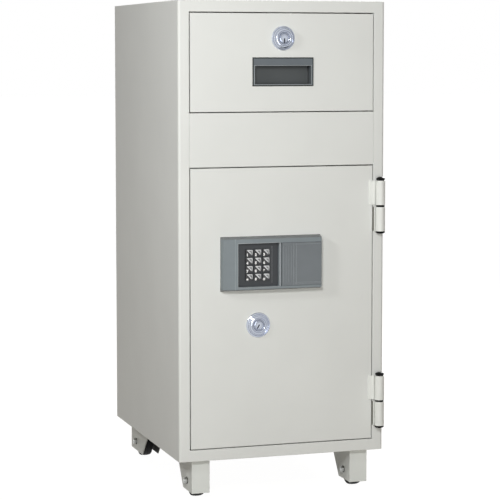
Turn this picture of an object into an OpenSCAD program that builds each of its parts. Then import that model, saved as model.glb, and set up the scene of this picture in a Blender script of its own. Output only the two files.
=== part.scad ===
// Deposit safe on fixed casters: a deposit drawer over a fixed panel and a hinged door with a key unit.
// Inside the modules x runs to the right from the middle of the case, y runs back from its front face
// and z runs up from its underside. placed() moves that to the floor and to the middle of the outline.

/* [Case] */
// Width of the case
case_w = 500; // [470:1:560]
// Depth of the case
case_d = 595; // [580:1:700]
// Height of the case
case_h = 1055; // [1020:1:1150]
// Height of the underside of the case above the floor
ride_h = 92; // [84:1:110]
// Thickness of the case sheet
sheet_t = 2; // [1:0.1:3]
// Radius of the upright edges of the case
edge_r = 6; // [4:0.5:8]
// Thickness of the insulation at the sides, back and base
wall_t = 41.5; // [32:0.5:44]
// Thickness of the insulation over the drawer
roof_t = 17.5; // [12:0.5:20]
// Thickness of the liner sheet
liner_t = 1.5; // [0.8:0.1:2]

/* [Front frame] */
// Width of the rim round the front openings
rim_w = 26; // [24:1:32]
// Depth of the lips that line the openings
lip_d = 36; // [34:1:40]
// Thickness of the frame steel
frame_t = 3; // [2:0.5:4]
// Gap round the door and the drawer front
gap = 2.5; // [2:0.1:3.5]
// Height of the fixed panel
panel_h = 123.5; // [110:0.5:150]
// Seam at each end of the fixed panel
seam = 0.8; // [0.4:0.1:1.2]

/* [Drawer] */
// Height of the drawer front
drawer_front_h = 224; // [214:1:240]
// Depth of the drawer front
drawer_front_d = 26; // [22:1:28]
// Width kept for the slide at each side of the drawer box
slide_room = 15; // [13:0.5:20]
// Height of the drawer floor over the drawer opening's lower edge
floor_rise = 38; // [36:1:42]
// Height of the walls of the drawer box
box_h = 150; // [130:1:150]
// Distance of the drop flap's rod behind the case front
flap_y = 134; // [120:1:145]
// Length of the drop flap
flap_l = 190; // [170:1:195]
// Angle at which the flap hangs while the drawer is shut
flap_angle = 45; // [40:1:48]
// Thickness of the drawer sheet
box_t = 1.5; // [1:0.1:2]
// Height of the drawer slides
slide_h = 18; // [14:1:24]
// Length of the drawer slides behind the drawer box
slide_over = 93; // [80:1:110]

/* [Drawer pull] */
// Width of the pull's flange
pull_w = 147; // [120:1:170]
// Height of the pull's flange
pull_h = 65; // [55:1:75]
// Height of the pull's upper edge over the drawer front's lower edge
pull_top = 123.1; // [110:0.1:130]
// Width of the flange at the ends of the opening
pull_side = 6.4; // [5:0.1:10]
// Height of the band over the opening
pull_band = 18; // [14:1:20]
// Height of the rim under the opening
pull_sill = 3.2; // [2.5:0.1:5]
// Depth of the pull's cup
pull_d = 24; // [18:1:25]

/* [Locks] */
// Radius of the drawer lock's collar
drawer_lock_r = 28; // [24:0.5:30]
// Height of the drawer lock over the drawer front's lower edge
drawer_lock_up = 167.3; // [160:0.1:175]
// Radius of the door lock's collar
door_lock_r = 29; // [25:0.5:32]
// Distance of the door lock to the left of the middle
door_lock_x = 59.8; // [40:0.1:90]
// Height of the door lock over the door's lower edge
door_lock_up = 281.9; // [250:0.1:300]
// Radius of the turning plugs
plug_r = 11; // [9:0.5:12]
// Radius of the barrels behind the collars
barrel_r = 16.5; // [15:0.5:17]
// Length of the drawer lock's cam
cam_l = 36; // [32:1:40]
// Width of the drawer lock's cam
cam_w = 16; // [12:1:18]
// Width of the plate that the cam locks behind
keeper_w = 60; // [50:1:80]

/* [Door] */
// Depth of the door's front pan
door_pan_d = 12; // [10:1:16]
// Depth of the whole door
door_d = 72; // [68:1:76]
// Depth of the door's insulation
door_fill_d = 34; // [30:1:35]
// Distance of the inner cover from the door's edges
cover_in = 11.5; // [11:0.5:16]
// Distance of the back plate from the ends of the inner cover
back_in = 16; // [12:1:24]
// Radius of the bolts
bolt_r = 8; // [6:0.5:9]
// Number of bolts on each side
bolt_n = 3; // [2:1:4]
// Distance of the outer bolts from the ends of the inner cover
bolt_end = 120; // [100:1:140]
// Length of the bolt bar past the outer bolts
bar_over = 16; // [14:1:20]
// Modulus of the rack and pinion teeth
tooth_m = 1.5; // [1.25:0.25:1.5]
// Number of teeth on the pinion
pinion_n = 17; // [17:1:20]
// Width of the control box
control_w = 90; // [70:1:100]
// Height of the control box
control_h = 130; // [100:1:150]
// Distance of the control box to the right of the middle
control_x = 40; // [30:1:60]

/* [Hinges] */
// Radius of the hinge barrels
hinge_r = 11; // [9:0.5:12]
// Distance of the hinge axis from the side of the case
hinge_in = 12.5; // [11:0.5:14]
// Height of one barrel
barrel_h = 57; // [45:1:65]
// Thickness of the collar between the barrels
collar_t = 4.5; // [3:0.5:6]
// Height of the lower hinge's collar over the underside of the case
hinge_low = 119; // [100:1:140]
// Height of the upper hinge's collar over the underside of the case
hinge_high = 579.8; // [540:0.1:590]
// Radius of the hinge pins
pin_r = 6; // [5:0.5:6]

/* [Key unit] */
// Width of the housing
unit_w = 241.7; // [236:0.1:260]
// Height of the housing
unit_h = 124; // [120:0.1:140]
// Depth of the housing
unit_d = 20; // [19:0.5:20]
// Distance of the housing's left end to the left of the middle
unit_left = 150.5; // [140:0.1:160]
// Height of the housing's lower edge over the door's lower edge
unit_up = 363.5; // [350:0.5:380]
// Width of the housing's lower shoulder at its left end
shoulder_w = 34.3; // [28:0.1:38]
// Distance of the key window from the shoulder
window_in = 2.2; // [1.5:0.1:4]
// Width of the key window
window_w = 99.4; // [92:0.1:101]
// Height of the key window
window_h = 100.3; // [96:0.1:106]
// Distance of the window's middle under the housing's middle
window_drop = 2.6; // [0:0.1:4]
// Distance from one key to the next across
key_pitch_x = 20.2; // [19.6:0.1:22]
// Distance from one key to the next up
key_pitch_z = 18.7; // [18.2:0.1:20]
// Width of a key
key_w = 16.4; // [12:0.1:16.8]
// Height of a key
key_h = 15.6; // [11:0.1:15.7]
// Travel of a key
key_travel = 1.8; // [1:0.1:2.2]

/* [Casters] */
// Radius of a wheel
wheel_r = 37.5; // [32:0.5:38]
// Width of the tyre
tyre_w = 20; // [18:1:31]
// Width of a bracket
bracket_w = 43; // [40:1:50]
// Distance of a bracket from the side of the case
bracket_in = 34; // [25:0.5:45]
// Height of a bracket
bracket_h = 78; // [72:1:80]
// Thickness of the bracket steel
bracket_t = 2.5; // [2:0.1:3.5]
// Length of a front bracket at its lower edge
front_foot = 74; // [66:1:90]
// Length of a rear bracket at its lower edge
rear_foot = 108; // [90:1:120]
// Extra length of a front bracket at the case
front_brace = 49; // [40:1:60]
// Extra length of a rear bracket at the case
rear_brace = 67; // [50:1:75]
// Distance of a front bracket's web behind the case front
front_web = 14; // [8:1:20]
// Distance of a rear bracket's web from the case back
rear_web = 22; // [14:1:30]
// Radius of the axle bolts
axle_r = 5; // [4:0.5:6]
// Length of an axle bolt past each side of the bracket
axle_over = 8; // [7:0.5:12]

/* [Hidden] */
$fn = 48;
eps = 0.01;
fit = 0.05;
clear = 0.3;
hinge_y = -hinge_r - clear;
hinge_x = case_w / 2 - hinge_in;
front_y = (2 * hinge_r + clear - case_d) / 2;
half_in = case_w / 2 - sheet_t;

open_half = case_w / 2 - rim_w;
door_low = rim_w;
drawer_top = case_h - rim_w;
drawer_low = drawer_top - drawer_front_h - 2 * gap;
door_top = drawer_low - panel_h;
opens = [[door_low, door_top], [drawer_low, drawer_top]];
plate_y = sheet_t + frame_t;

liner_half = half_in - wall_t - liner_t;
liner_back = case_d - sheet_t - wall_t - liner_t;
liner_floor = sheet_t + wall_t + liner_t;
liner_roof = case_h - sheet_t - roof_t - liner_t;
rebate_half = open_half + 12;
rebate_y = door_d + 4;
safe_top = door_top - 13.5;
chute_y = 250;
chute_high = drawer_low - 10;
chute_low = safe_top + 10;

front_half = open_half - gap;
front_low = drawer_low + gap;
front_top = drawer_top - gap;
box_half = liner_half - slide_room;
box_low = drawer_low + floor_rise;
box_back = flap_y + flap_l + 3;
rod_r = 3;
curl_r = 5;
rod_z = box_low + box_t - curl_r;
slide_z = box_low + box_h / 2;
rail_t = 2;
rail_y = lip_d + 4;
runner_y = [drawer_front_d + 2, box_back + slide_over];

pull_z = front_low + pull_top - pull_h;
pull_open_w = pull_w - 2 * pull_side;
cup_w = pull_open_w + 4;
cup_z = [pull_z + 1.2, pull_z + pull_h - 2];

lock_z = front_low + drawer_lock_up;
cam_y = lip_d;
cam_t = 3;
keeper_y = drawer_front_d + 4;
keeper_t = 4;

door_z = [door_low + gap, door_top - gap];
key_lock_x = -door_lock_x;
key_lock_z = door_z[0] + door_lock_up;
cover_half = front_half - cover_in;
cover_t = 1.5;
cover_z = [door_z[0] + cover_in, door_z[1] - cover_in];
back_plate_t = 2;
work_y = door_fill_d + back_plate_t;
bolt_y = lip_d + bolt_r + 4;
bolt_travel = 20;
bar_w = 14;
bar_x = -cover_half + cover_t + bolt_travel + 1.5;
bolt_span = cover_z[1] - cover_z[0] - 2 * bolt_end;
bolt_z = [for (i = [0:bolt_n - 1]) cover_z[0] + bolt_end + i * bolt_span / (bolt_n - 1)];
seat_w = 16;
seat_in = 10;
seat_x = [cover_half - seat_in - seat_w, cover_half - seat_in];
guide_x = [bar_x - 12, bar_x + bar_w + 12];
control_mid = key_lock_z + 5;
pitch_r = tooth_m * pinion_n / 2;
rack_z = key_lock_z - pitch_r;
rack_teeth = 11;
rack_t = 6;
back_lash = 0.25;

pin_up = 50;
hinges = [hinge_low, hinge_high];

unit_x = [-unit_left, unit_w - unit_left];
unit_z = [door_z[0] + unit_up, door_z[0] + unit_up + unit_h];
unit_mid = (unit_z[0] + unit_z[1]) / 2;
step_x = unit_x[0] + shoulder_w;
window_x = [step_x + window_in, step_x + window_in + window_w];
window_mid = unit_mid - window_drop;
window_z = [window_mid - window_h / 2, window_mid + window_h / 2];
track_end = unit_x[1] - 2.7;
track_y = -unit_d + 5.2;
face_y = -7;
face_t = 2;
well_y = -2.5;
slider_x = [window_x[1] + 6.1, track_end - clear];
keys_x = (window_x[0] + window_x[1]) / 2 - 1.1;
keys_z = window_mid - 0.1;
groove_d = 1.6;

axle_z = wheel_r - ride_h;
bracket_x = case_w / 2 - bracket_in - bracket_w / 2;
web_y = [front_web, case_d - rear_web];
axle_off = [41, 48];
foot_l = [front_foot, rear_foot];
top_l = [front_foot + front_brace, rear_foot + rear_brace];

paint = [0.86, 0.86, 0.83];
blue_grey = [0.46, 0.50, 0.53];
black = [0.13, 0.13, 0.14];
steel = [0.62, 0.63, 0.65];
chrome = [0.78, 0.79, 0.84];
board = [0.72, 0.70, 0.66];

// Moves the case to the middle of its outline, on the floor
module placed() translate([0, front_y, ride_h]) children();

// A block between two x, two y and two z values
module block(x, y, z) translate([x[0], y[0], z[0]]) cube([x[1] - x[0], y[1] - y[0], z[1] - z[0]]);

// The same on both sides of the middle
module both() for (side = [0, 1]) mirror([side, 0, 0]) children();

// A profile drawn in x and z, thick from y0 to y1
module facing(x, z, y0, y1) translate([x, y1, z]) rotate([90, 0, 0]) linear_extrude(y1 - y0) children();

// A profile of radius against height in front of y = 0, turned about an axis that runs back
module turned(x, z, points) translate([x, 0, z]) rotate([90, 0, 0]) rotate_extrude() polygon(points);

// A profile drawn in y and z, wide from x0 to x1
module across(x0, x1) translate([x0, 0, 0]) rotate([90, 0, 90]) linear_extrude(x1 - x0) children();

// A rectangle with round corners
module round_rect(w, h, r) {
    square([w - 2 * r, h], center = true);
    square([w, h - 2 * r], center = true);
    for (sx = [-1, 1], sy = [-1, 1]) translate([sx * (w / 2 - r), sy * (h / 2 - r)]) circle(r);
}

// The case as a solid with upright round edges, drawn in by inset all round
module case_solid(inset) translate([0, case_d / 2, inset]) linear_extrude(case_h - 2 * inset)
    round_rect(case_w - 2 * inset, case_d - 2 * inset, edge_r - inset);

module outer_case() color(paint) placed() difference() {
    case_solid(0);
    case_solid(sheet_t);
    block([-open_half, open_half], [-1, sheet_t + 1], [door_low, drawer_top]);
}

module front_frame() color(paint) placed() difference() {
    union() {
        block([edge_r - case_w / 2, case_w / 2 - edge_r], [sheet_t, plate_y], [edge_r, case_h - edge_r]);
        for (z = opens) block([-open_half - frame_t, open_half + frame_t], [sheet_t, lip_d],
                              [z[0] - frame_t, z[1] + frame_t]);
    }
    for (z = opens) block([-open_half, open_half], [0, lip_d + 1], z);
}

module fixed_panel() color(paint) placed()
    block([seam - open_half, open_half - seam], [0, sheet_t], [door_top, drawer_low]);

// All that the insulation leaves free behind the front frame
module hollows() {
    block([-open_half - frame_t, open_half + frame_t], [0, lip_d],
          [drawer_low - frame_t, drawer_top + frame_t]);
    block([-rebate_half, rebate_half], [0, lip_d], [door_low - frame_t, door_top + frame_t]);
    block([-rebate_half, rebate_half], [lip_d, rebate_y], [door_low, door_top]);
}

module side_insulation() color(board) placed() difference() {
    intersection() {
        case_solid(sheet_t);
        both() block([liner_half + liner_t, case_w / 2], [plate_y, case_d], [0, case_h]);
    }
    hollows();
}

module back_insulation() color(board) placed()
    block([-liner_half - liner_t, liner_half + liner_t], [liner_back + liner_t, case_d - sheet_t],
          [sheet_t, case_h - sheet_t]);

module base_insulation() color(board) placed() difference() {
    block([-liner_half - liner_t, liner_half + liner_t], [plate_y, liner_back + liner_t],
          [sheet_t, liner_floor - liner_t]);
    hollows();
}

module top_insulation() color(board) placed() difference() {
    block([-liner_half - liner_t, liner_half + liner_t], [plate_y, liner_back + liner_t],
          [liner_roof + liner_t, case_h - sheet_t]);
    hollows();
}

module shelf_insulation() color(board) placed() across(-liner_half - liner_t, liner_half + liner_t) polygon([
    [plate_y, door_top + frame_t], [plate_y, drawer_low - frame_t], [lip_d, drawer_low - frame_t],
    [lip_d, chute_high - liner_t], [chute_y, chute_low - liner_t], [chute_y, safe_top + liner_t],
    [rebate_y, safe_top + liner_t], [rebate_y, door_top], [lip_d, door_top], [lip_d, door_top + frame_t]
]);

module inner_liner() color(paint) placed() {
    outer = liner_half + liner_t;
    difference() {
        union() {
            block([-outer, outer], [rebate_y, liner_back + liner_t],
                  [liner_floor - liner_t, safe_top + liner_t]);
            across(-outer, outer) polygon([
                [lip_d, chute_high - liner_t], [chute_y, chute_low - liner_t], [chute_y, safe_top],
                [liner_back + liner_t, safe_top], [liner_back + liner_t, liner_roof + liner_t],
                [lip_d, liner_roof + liner_t]
            ]);
            block([-rebate_half, rebate_half], [rebate_y - liner_t, rebate_y], [door_low, door_top]);
        }
        block([-liner_half, liner_half], [lip_d, liner_back], [liner_floor, safe_top]);
        block([-liner_half, liner_half], [chute_y, liner_back], [liner_floor, liner_roof]);
        across(-liner_half, liner_half) polygon([
            [lip_d - 1, chute_high - liner_t], [lip_d, chute_high - liner_t], [chute_y, chute_low - liner_t],
            [chute_y + 1, liner_roof], [lip_d - 1, liner_roof]
        ]);
    }
}

module chute_plate() color(paint) placed() across(-liner_half, liner_half) polygon([
    [lip_d, chute_high], [chute_y, chute_low], [chute_y + liner_t, chute_low - 1],
    [chute_y + liner_t, safe_top], [chute_y, safe_top], [chute_y, chute_low - liner_t],
    [lip_d, chute_high - liner_t]
]);

module lock_keeper() color(steel) placed() difference() {
    block([-keeper_w / 2, keeper_w / 2], [keeper_y, keeper_y + keeper_t],
          [lock_z + barrel_r + 3.5, drawer_top]);
    for (side = [-1, 1]) translate([side * (keeper_w / 2 - 12), keeper_y - 1, drawer_top - 10])
        rotate([-90, 0, 0]) cylinder(r = 2.5, h = keeper_t + 2);
}

// One slide member: a channel that is open towards the middle or away from it
module channel(x, y, h, lip) difference() {
    block(x, y, [slide_z - h / 2, slide_z + h / 2]);
    block([x[0] + (lip > 0 ? -1 : rail_t), x[1] + (lip > 0 ? -rail_t : 1)], [y[0] - 1, y[1] + 1],
          [slide_z - h / 2 + rail_t, slide_z + h / 2 - rail_t]);
}

module drawer_rails() color(steel) placed() both()
    channel([box_half + 5, liner_half], [rail_y, liner_back - 2], slide_h + 2 * rail_t + 2 * clear, 1);

module drawer_runners() color(steel) placed() both()
    channel([box_half, liner_half - rail_t - clear], runner_y, slide_h, -1);

module hinge_frame_barrels() color(paint) placed() for (z = hinges) difference() {
    union() {
        translate([hinge_x, hinge_y, z - collar_t / 2 - barrel_h]) cylinder(r = hinge_r, h = barrel_h);
        block([hinge_x - 7, hinge_x + 7], [hinge_y + hinge_r / 2, 0],
              [z - collar_t / 2 - barrel_h, z - collar_t / 2]);
    }
    translate([hinge_x, hinge_y, z - barrel_h - collar_t])
        cylinder(r = pin_r + fit, h = barrel_h + 2 * collar_t);
}

// A cap with a domed end, turned about z; way is 1 for a top cap and -1 for a bottom one
module cap(h, r, way) mirror([0, 0, way < 0 ? 1 : 0]) rotate_extrude()
    polygon([[0, 0], [r - 1.2, 0], [r, 1.6], [r, 2.8], [r - 1.3, 4.2], [r - 4.5, h - 0.9], [r - 8, h], [0, h]]);

module hinge_pins() color(black) placed() for (z = hinges) translate([hinge_x, hinge_y, z]) {
    translate([0, 0, -collar_t / 2 - barrel_h - eps]) cylinder(r = pin_r, h = barrel_h + collar_t / 2 + pin_up);
    translate([0, 0, -collar_t / 2]) cylinder(r = hinge_r - 1, h = collar_t - 0.2);
    translate([0, 0, -collar_t / 2 - barrel_h]) cap(6.4, hinge_r, -1);
}

module hinge_door_leaves() color(paint) placed() for (z = hinges) difference() {
    union() {
        translate([hinge_x, hinge_y, z + collar_t / 2]) cylinder(r = hinge_r, h = barrel_h);
        translate([0, 0, z + collar_t / 2]) linear_extrude(barrel_h) polygon([
            [front_half - 8, 0], [front_half - 7.2, -2.5], [hinge_x - hinge_r - 1, -3.5],
            [hinge_x - hinge_r + 1.5, -2], [hinge_x, hinge_y],
            [hinge_x, -clear], [front_half, -clear], [front_half, 0]
        ]);
    }
    translate([hinge_x, hinge_y, z]) cylinder(r = pin_r + fit, h = barrel_h + 2 * collar_t);
}

module hinge_caps() color(black) placed() for (z = hinges)
    translate([hinge_x, hinge_y, z + collar_t / 2 + barrel_h]) {
        cap(8.7, hinge_r, 1);
        translate([0, 0, -4]) cylinder(r = pin_r, h = 4.5);
    }

// One caster bracket: end is 0 at the front and 1 at the rear, where the web stands behind
module bracket(side, end) color(paint) placed() translate([side * bracket_x, web_y[end], 0])
    mirror([0, end, 0]) difference() {
        across(-bracket_w / 2, bracket_w / 2) polygon([
            [0, 0], [0, -bracket_h], [foot_l[end], -bracket_h], [top_l[end], -8], [top_l[end], 0]
        ]);
        block([bracket_t - bracket_w / 2, bracket_w / 2 - bracket_t], [bracket_t, top_l[end] + 1],
              [-bracket_h - 1, -bracket_t]);
        translate([-bracket_w, axle_off[end], axle_z]) rotate([0, 90, 0])
            cylinder(r = axle_r + fit, h = 2 * bracket_w);
    }

module at_axle(side, end)
    translate([side * bracket_x, web_y[end] + (end == 0 ? 1 : -1) * axle_off[end], axle_z]) children();

module axle_bolts() color(steel) placed() for (side = [-1, 1], end = [0, 1]) at_axle(side, end)
    mirror([side < 0 ? 1 : 0, 0, 0]) rotate([0, 90, 0]) {
        translate([0, 0, -bracket_w / 2 - axle_over]) cylinder(r = axle_r, h = bracket_w + 2 * axle_over);
        translate([0, 0, bracket_w / 2]) cylinder(r = 1.5 * axle_r, h = 6.5, $fn = 6);
        translate([0, 0, -bracket_w / 2 - 6]) cylinder(r = 1.5 * axle_r, h = 6, $fn = 6);
    }

// The crown of the tyre as radius against distance from the wheel's middle
function crown(h) = wheel_r - 2.4 * pow(2 * abs(h) / tyre_w, 3);

// Half of the wheel's profile from the bore to the crown; way is 1 at its right and -1 at its left
function flank(way) = [
    [axle_r + fit + 0.01, way * (bracket_w / 2 - bracket_t - 1.5)],
    [axle_r + 6.5, way * (bracket_w / 2 - bracket_t - 1.5)], [axle_r + 8, way * tyre_w / 4],
    [wheel_r - 12, way * tyre_w / 4], [wheel_r - 9, way * (tyre_w / 2 - 1)], [wheel_r - 4.5, way * tyre_w / 2]
];

module wheel(side, end) color(black) placed() at_axle(side, end) rotate([0, 90, 0]) rotate_extrude()
    polygon(concat(
        flank(1), [for (i = [5:-1:-5]) [crown(i * tyre_w / 10), i * tyre_w / 10]],
        [for (i = [5:-1:0]) flank(-1)[i]]
    ));

// The cut-out of the pull through the drawer front and the box behind it
module pull_cutout() block([-cup_w / 2 - clear, cup_w / 2 + clear], [-1, drawer_front_d + box_t + 1],
                           [cup_z[0] - clear, cup_z[1] + clear]);

module lock_hole(x, z, depth) facing(x, z, -1, depth) circle(barrel_r + clear);

module drawer_front() color(paint) placed() difference() {
    block([-front_half, front_half], [0, drawer_front_d], [front_low, front_top]);
    block([sheet_t - front_half, front_half - sheet_t], [sheet_t, drawer_front_d + 1],
          [front_low + sheet_t, front_top - sheet_t]);
    pull_cutout();
    lock_hole(0, lock_z, sheet_t + 1);
}

module drawer_box() color(paint) placed() difference() {
    union() {
        block([1 - front_half, front_half - 1], [drawer_front_d, drawer_front_d + box_t],
              [front_low + 1, front_top - 1]);
        both() block([box_half - box_t, box_half], [drawer_front_d, box_back], [box_low, box_low + box_h]);
        both() block([box_half - box_t, box_half], [flap_y - 8, flap_y + 8], [rod_z - 7, box_low + 1]);
        block([-box_half, box_half], [drawer_front_d, flap_y - curl_r - clear], [box_low, box_low + box_t]);
        block([-box_half, box_half], [box_back - box_t, box_back], [box_low, box_low + box_h]);
    }
    pull_cutout();
    lock_hole(0, lock_z, drawer_front_d + box_t + 1);
    translate([-case_w / 2, flap_y, rod_z]) rotate([0, 90, 0]) cylinder(r = rod_r + fit, h = case_w);
}

module flap_rod() color(steel) placed() translate([-box_half, flap_y, rod_z]) rotate([0, 90, 0])
    cylinder(r = rod_r, h = 2 * box_half);

// The flap as it hangs with the drawer shut; its upper face is flush with the floor once the drawer is out
module drop_flap() color(paint) placed() translate([0, flap_y, rod_z]) rotate([-flap_angle, 0, 0]) {
    flap_half = box_half - box_t - 2.5;
    difference() {
        union() {
            translate([-flap_half, 0, 0]) rotate([0, 90, 0]) cylinder(r = curl_r, h = 2 * flap_half);
            block([-flap_half, flap_half], [0, flap_l], [curl_r - box_t, curl_r]);
            block([-flap_half, flap_half], [flap_l - box_t, flap_l], [curl_r - 12, curl_r]);
        }
        translate([-case_w / 2, 0, 0]) rotate([0, 90, 0]) cylinder(r = rod_r + fit + 0.01, h = case_w);
    }
}

module drawer_pull() color(blue_grey) placed() difference() {
    union() {
        translate([0, 0, pull_z + pull_h / 2]) facing(0, 0, -1.5, 0) round_rect(pull_w, pull_h, 2);
        block([-cup_w / 2, cup_w / 2], [-1, pull_d], cup_z);
    }
    block([-pull_open_w / 2, pull_open_w / 2], [-2, pull_d - 2],
          [pull_z + pull_sill, pull_z + pull_h - pull_band]);
    across(-pull_open_w / 2, pull_open_w / 2) polygon([
        [2, pull_z + pull_sill], [pull_d - 2, pull_z + pull_sill], [pull_d - 2, cup_z[1] - 8],
        [pull_d - 8, cup_z[1] - 2], [3.5, cup_z[1] - 2], [1.5, pull_z + pull_h - pull_band]
    ]);
}

// A collar with a stepped face over a barrel that runs back through the front
module lock_body(x, z, r, proud, depth) color(chrome) placed() turned(x, z, [
    [plug_r + fit, -depth], [barrel_r, -depth], [barrel_r, 0], [r, 0], [r, 1.6], [r - 1.5, 3.2],
    [barrel_r + 4, proud - 2], [barrel_r + 2, proud], [plug_r + 3, proud], [plug_r + 2, proud - 1.5],
    [plug_r + fit, proud - 1.5]
]);

// A turning plug with its key slot; tail is how far it runs back past the barrel
module lock_plug(x, z, proud, depth, tilt, tail_r, tail) color(chrome) placed() difference() {
    turned(x, z, [
        [0, -tail], [tail_r, -tail], [tail_r, -depth], [plug_r, -depth], [plug_r, proud - 1],
        [plug_r - 1, proud], [0, proud]
    ]);
    translate([x, 0, z]) rotate([0, tilt, 0]) block([-1.2, 1.2], [-proud - 1, 10 - proud], [-8.5, -0.5]);
}

module drawer_lock_body() lock_body(0, lock_z, drawer_lock_r, 12, cam_y - 2);

module drawer_lock_plug() lock_plug(0, lock_z, 11, cam_y - 1, 0, 5, cam_y + cam_t + 2);

module drawer_lock_cam() color(steel) placed() facing(0, lock_z, cam_y, cam_y + cam_t) difference() {
    union() {
        circle(9);
        translate([-cam_l, -cam_w / 2]) square([cam_l, cam_w]);
    }
    circle(5 + fit);
}

module door_lock_body() lock_body(key_lock_x, key_lock_z, door_lock_r, 8, door_fill_d);

module door_lock_plug() lock_plug(key_lock_x, key_lock_z, 7, work_y + 1, 30, 6, bolt_y + 8);

module door_skin() color(paint) placed() difference() {
    block([-front_half, front_half], [0, door_pan_d], door_z);
    block([sheet_t - front_half, front_half - sheet_t], [sheet_t, door_pan_d + 1],
          [door_z[0] + sheet_t, door_z[1] - sheet_t]);
    lock_hole(key_lock_x, key_lock_z, sheet_t + 1);
}

module door_insulation() color(board) placed() difference() {
    union() {
        block([sheet_t - front_half, front_half - sheet_t], [sheet_t, door_pan_d],
              [door_z[0] + sheet_t, door_z[1] - sheet_t]);
        block([cover_t - cover_half, cover_half - cover_t], [sheet_t, door_fill_d],
              [cover_z[0] + cover_t, cover_z[1] - cover_t]);
    }
    lock_hole(key_lock_x, key_lock_z, door_fill_d + 1);
}

module door_back_plate() color(steel) placed() difference() {
    block([10 - cover_half, cover_half - 6], [door_fill_d, work_y], [cover_z[0] + back_in, cover_z[1] - back_in]);
    facing(key_lock_x, key_lock_z, 0, work_y + 1) circle(plug_r + clear);
}

module bolt_holes(x, extra) for (z = bolt_z)
    translate([x, bolt_y, z]) rotate([0, 90, 0]) cylinder(r = bolt_r + extra, h = 12);

module door_inner_cover() color(paint) placed() difference() {
    block([-cover_half, cover_half], [door_pan_d, door_d], cover_z);
    block([cover_t - cover_half, cover_half - cover_t], [door_pan_d - 1, door_d - cover_t],
          [cover_z[0] + cover_t, cover_z[1] - cover_t]);
    bolt_holes(-cover_half - 6, clear);
    bolt_holes(cover_half - 6, clear);
}

module dead_bolts() color(chrome) placed() for (z = bolt_z) {
    block(seat_x, [work_y, bolt_y + bolt_r + 3], [z - bolt_r - 5, z + bolt_r + 5]);
    translate([seat_x[1] - 4, bolt_y, z]) rotate([0, 90, 0]) cylinder(r = bolt_r, h = rebate_half - seat_x[1]);
}

module bolt_guides() color(steel) placed() for (up = [0, 1]) {
    z = up == 0 ? bolt_z[0] - bar_over : bolt_z[bolt_n - 1] + bar_over;
    translate([0, 0, z]) mirror([0, 0, up == 0 ? 1 : 0]) {
        block(guide_x, [work_y, bolt_y + 9], [clear, 10]);
        block(guide_x, [work_y, bolt_y - 7 - clear], [-10, clear + eps]);
    }
}

module control_box() color(black) placed()
    block([control_x, control_x + control_w], [work_y, door_d - cover_t - 4],
          [control_mid - control_h / 2, control_mid + control_h / 2]);

// Polar angle of an involute at radius r over base radius rb, in degrees
function involute(r, rb) = let (t = sqrt(pow(r / rb, 2) - 1)) t * 180 / PI - atan(t);

// One point at radius r and angle a
function polar(r, a) = [r * cos(a), r * sin(a)];

// The pinion's outline, a gap at the bottom, with each tooth thinned by the backlash
module pinion_outline() {
    base_r = pitch_r * cos(20);
    root_r = pitch_r - 1.25 * tooth_m;
    tip_r = pitch_r + tooth_m;
    half_a = 360 / pinion_n / 4 - back_lash / 2 / pitch_r * 180 / PI + involute(pitch_r, base_r);
    radii = [for (i = [0:4]) base_r + i * (tip_r - base_r) / 4];
    polygon([for (k = [0:pinion_n - 1]) let (mid = (k + 0.5) * 360 / pinion_n - 90) each concat(
        [polar(root_r, mid - half_a)],
        [for (r = radii) polar(r, mid - half_a + involute(r, base_r))],
        [for (i = [4:-1:0]) polar(radii[i], mid + half_a - involute(radii[i], base_r))],
        [polar(root_r, mid + half_a)]
    )]);
}

module lock_pinion() color(steel) placed()
    facing(key_lock_x, key_lock_z, bolt_y - rack_t / 2, bolt_y + rack_t / 2) difference() {
        pinion_outline();
        circle(6 + fit);
    }

// The rack's teeth point up at the pinion; one of them stands under its middle
module rack_outline() {
    pitch = PI * tooth_m;
    half = pitch / 4 - back_lash / 2;
    first = -floor(rack_teeth / 2) + 2;
    lean = tan(20) * tooth_m;
    for (i = [0:rack_teeth - 1]) translate([(first + i) * pitch, 0]) polygon([
        [-half - 1.25 * lean - eps, -1.25 * tooth_m - eps], [-half + lean, tooth_m],
        [half - lean, tooth_m], [half + 1.25 * lean + eps, -1.25 * tooth_m - eps]
    ]);
    end_x = (first + rack_teeth) * pitch;
    start_x = bar_x + bar_w - 1 - key_lock_x;
    translate([start_x, -1.25 * tooth_m - 10]) square([end_x - start_x, 10]);
}

module bolt_work() color(chrome) placed() {
    block([bar_x, bar_x + bar_w], [bolt_y - 7, bolt_y + 7],
          [bolt_z[0] - bar_over, bolt_z[bolt_n - 1] + bar_over]);
    for (z = bolt_z) translate([-cover_half - 1, bolt_y, z]) rotate([0, 90, 0])
        cylinder(r = bolt_r, h = bar_x + cover_half + 2);
    facing(key_lock_x, rack_z, bolt_y - rack_t / 2, bolt_y + rack_t / 2) rack_outline();
}

module keypad_housing() color(blue_grey) placed() difference() {
    hull() {
        block(unit_x, [-2, 0], unit_z);
        block([unit_x[0] + 3, unit_x[1] - 3], [-unit_d, 0], [unit_z[0] + 3, unit_z[1] - 3]);
    }
    hull() {
        block([unit_x[0] - 1, step_x - 4], [-unit_d - 1, 3 - unit_d], [unit_z[0] - 1, unit_z[1] + 1]);
        block([unit_x[0] - 1, step_x], [-unit_d - 1, -unit_d - 0.9], [unit_z[0] - 1, unit_z[1] + 1]);
    }
    block([window_x[0], track_end], [-unit_d - 1, track_y], window_z);
    block([window_x[0], track_end], [track_y - 2.6, track_y], [window_z[0] - 2, window_z[1] + 2]);
    block(window_x, [-unit_d, face_y], window_z);
    block([window_x[0] + 3, window_x[1] - 3], [face_y - 1, well_y], [window_z[0] + 3, window_z[1] - 3]);
}

// The places of the keys, row by row from the top
function key_x(i) = keys_x + (i % 3 - 1) * key_pitch_x;
function key_z(i) = keys_z + (1.5 - floor(i / 3)) * key_pitch_z;

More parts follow.
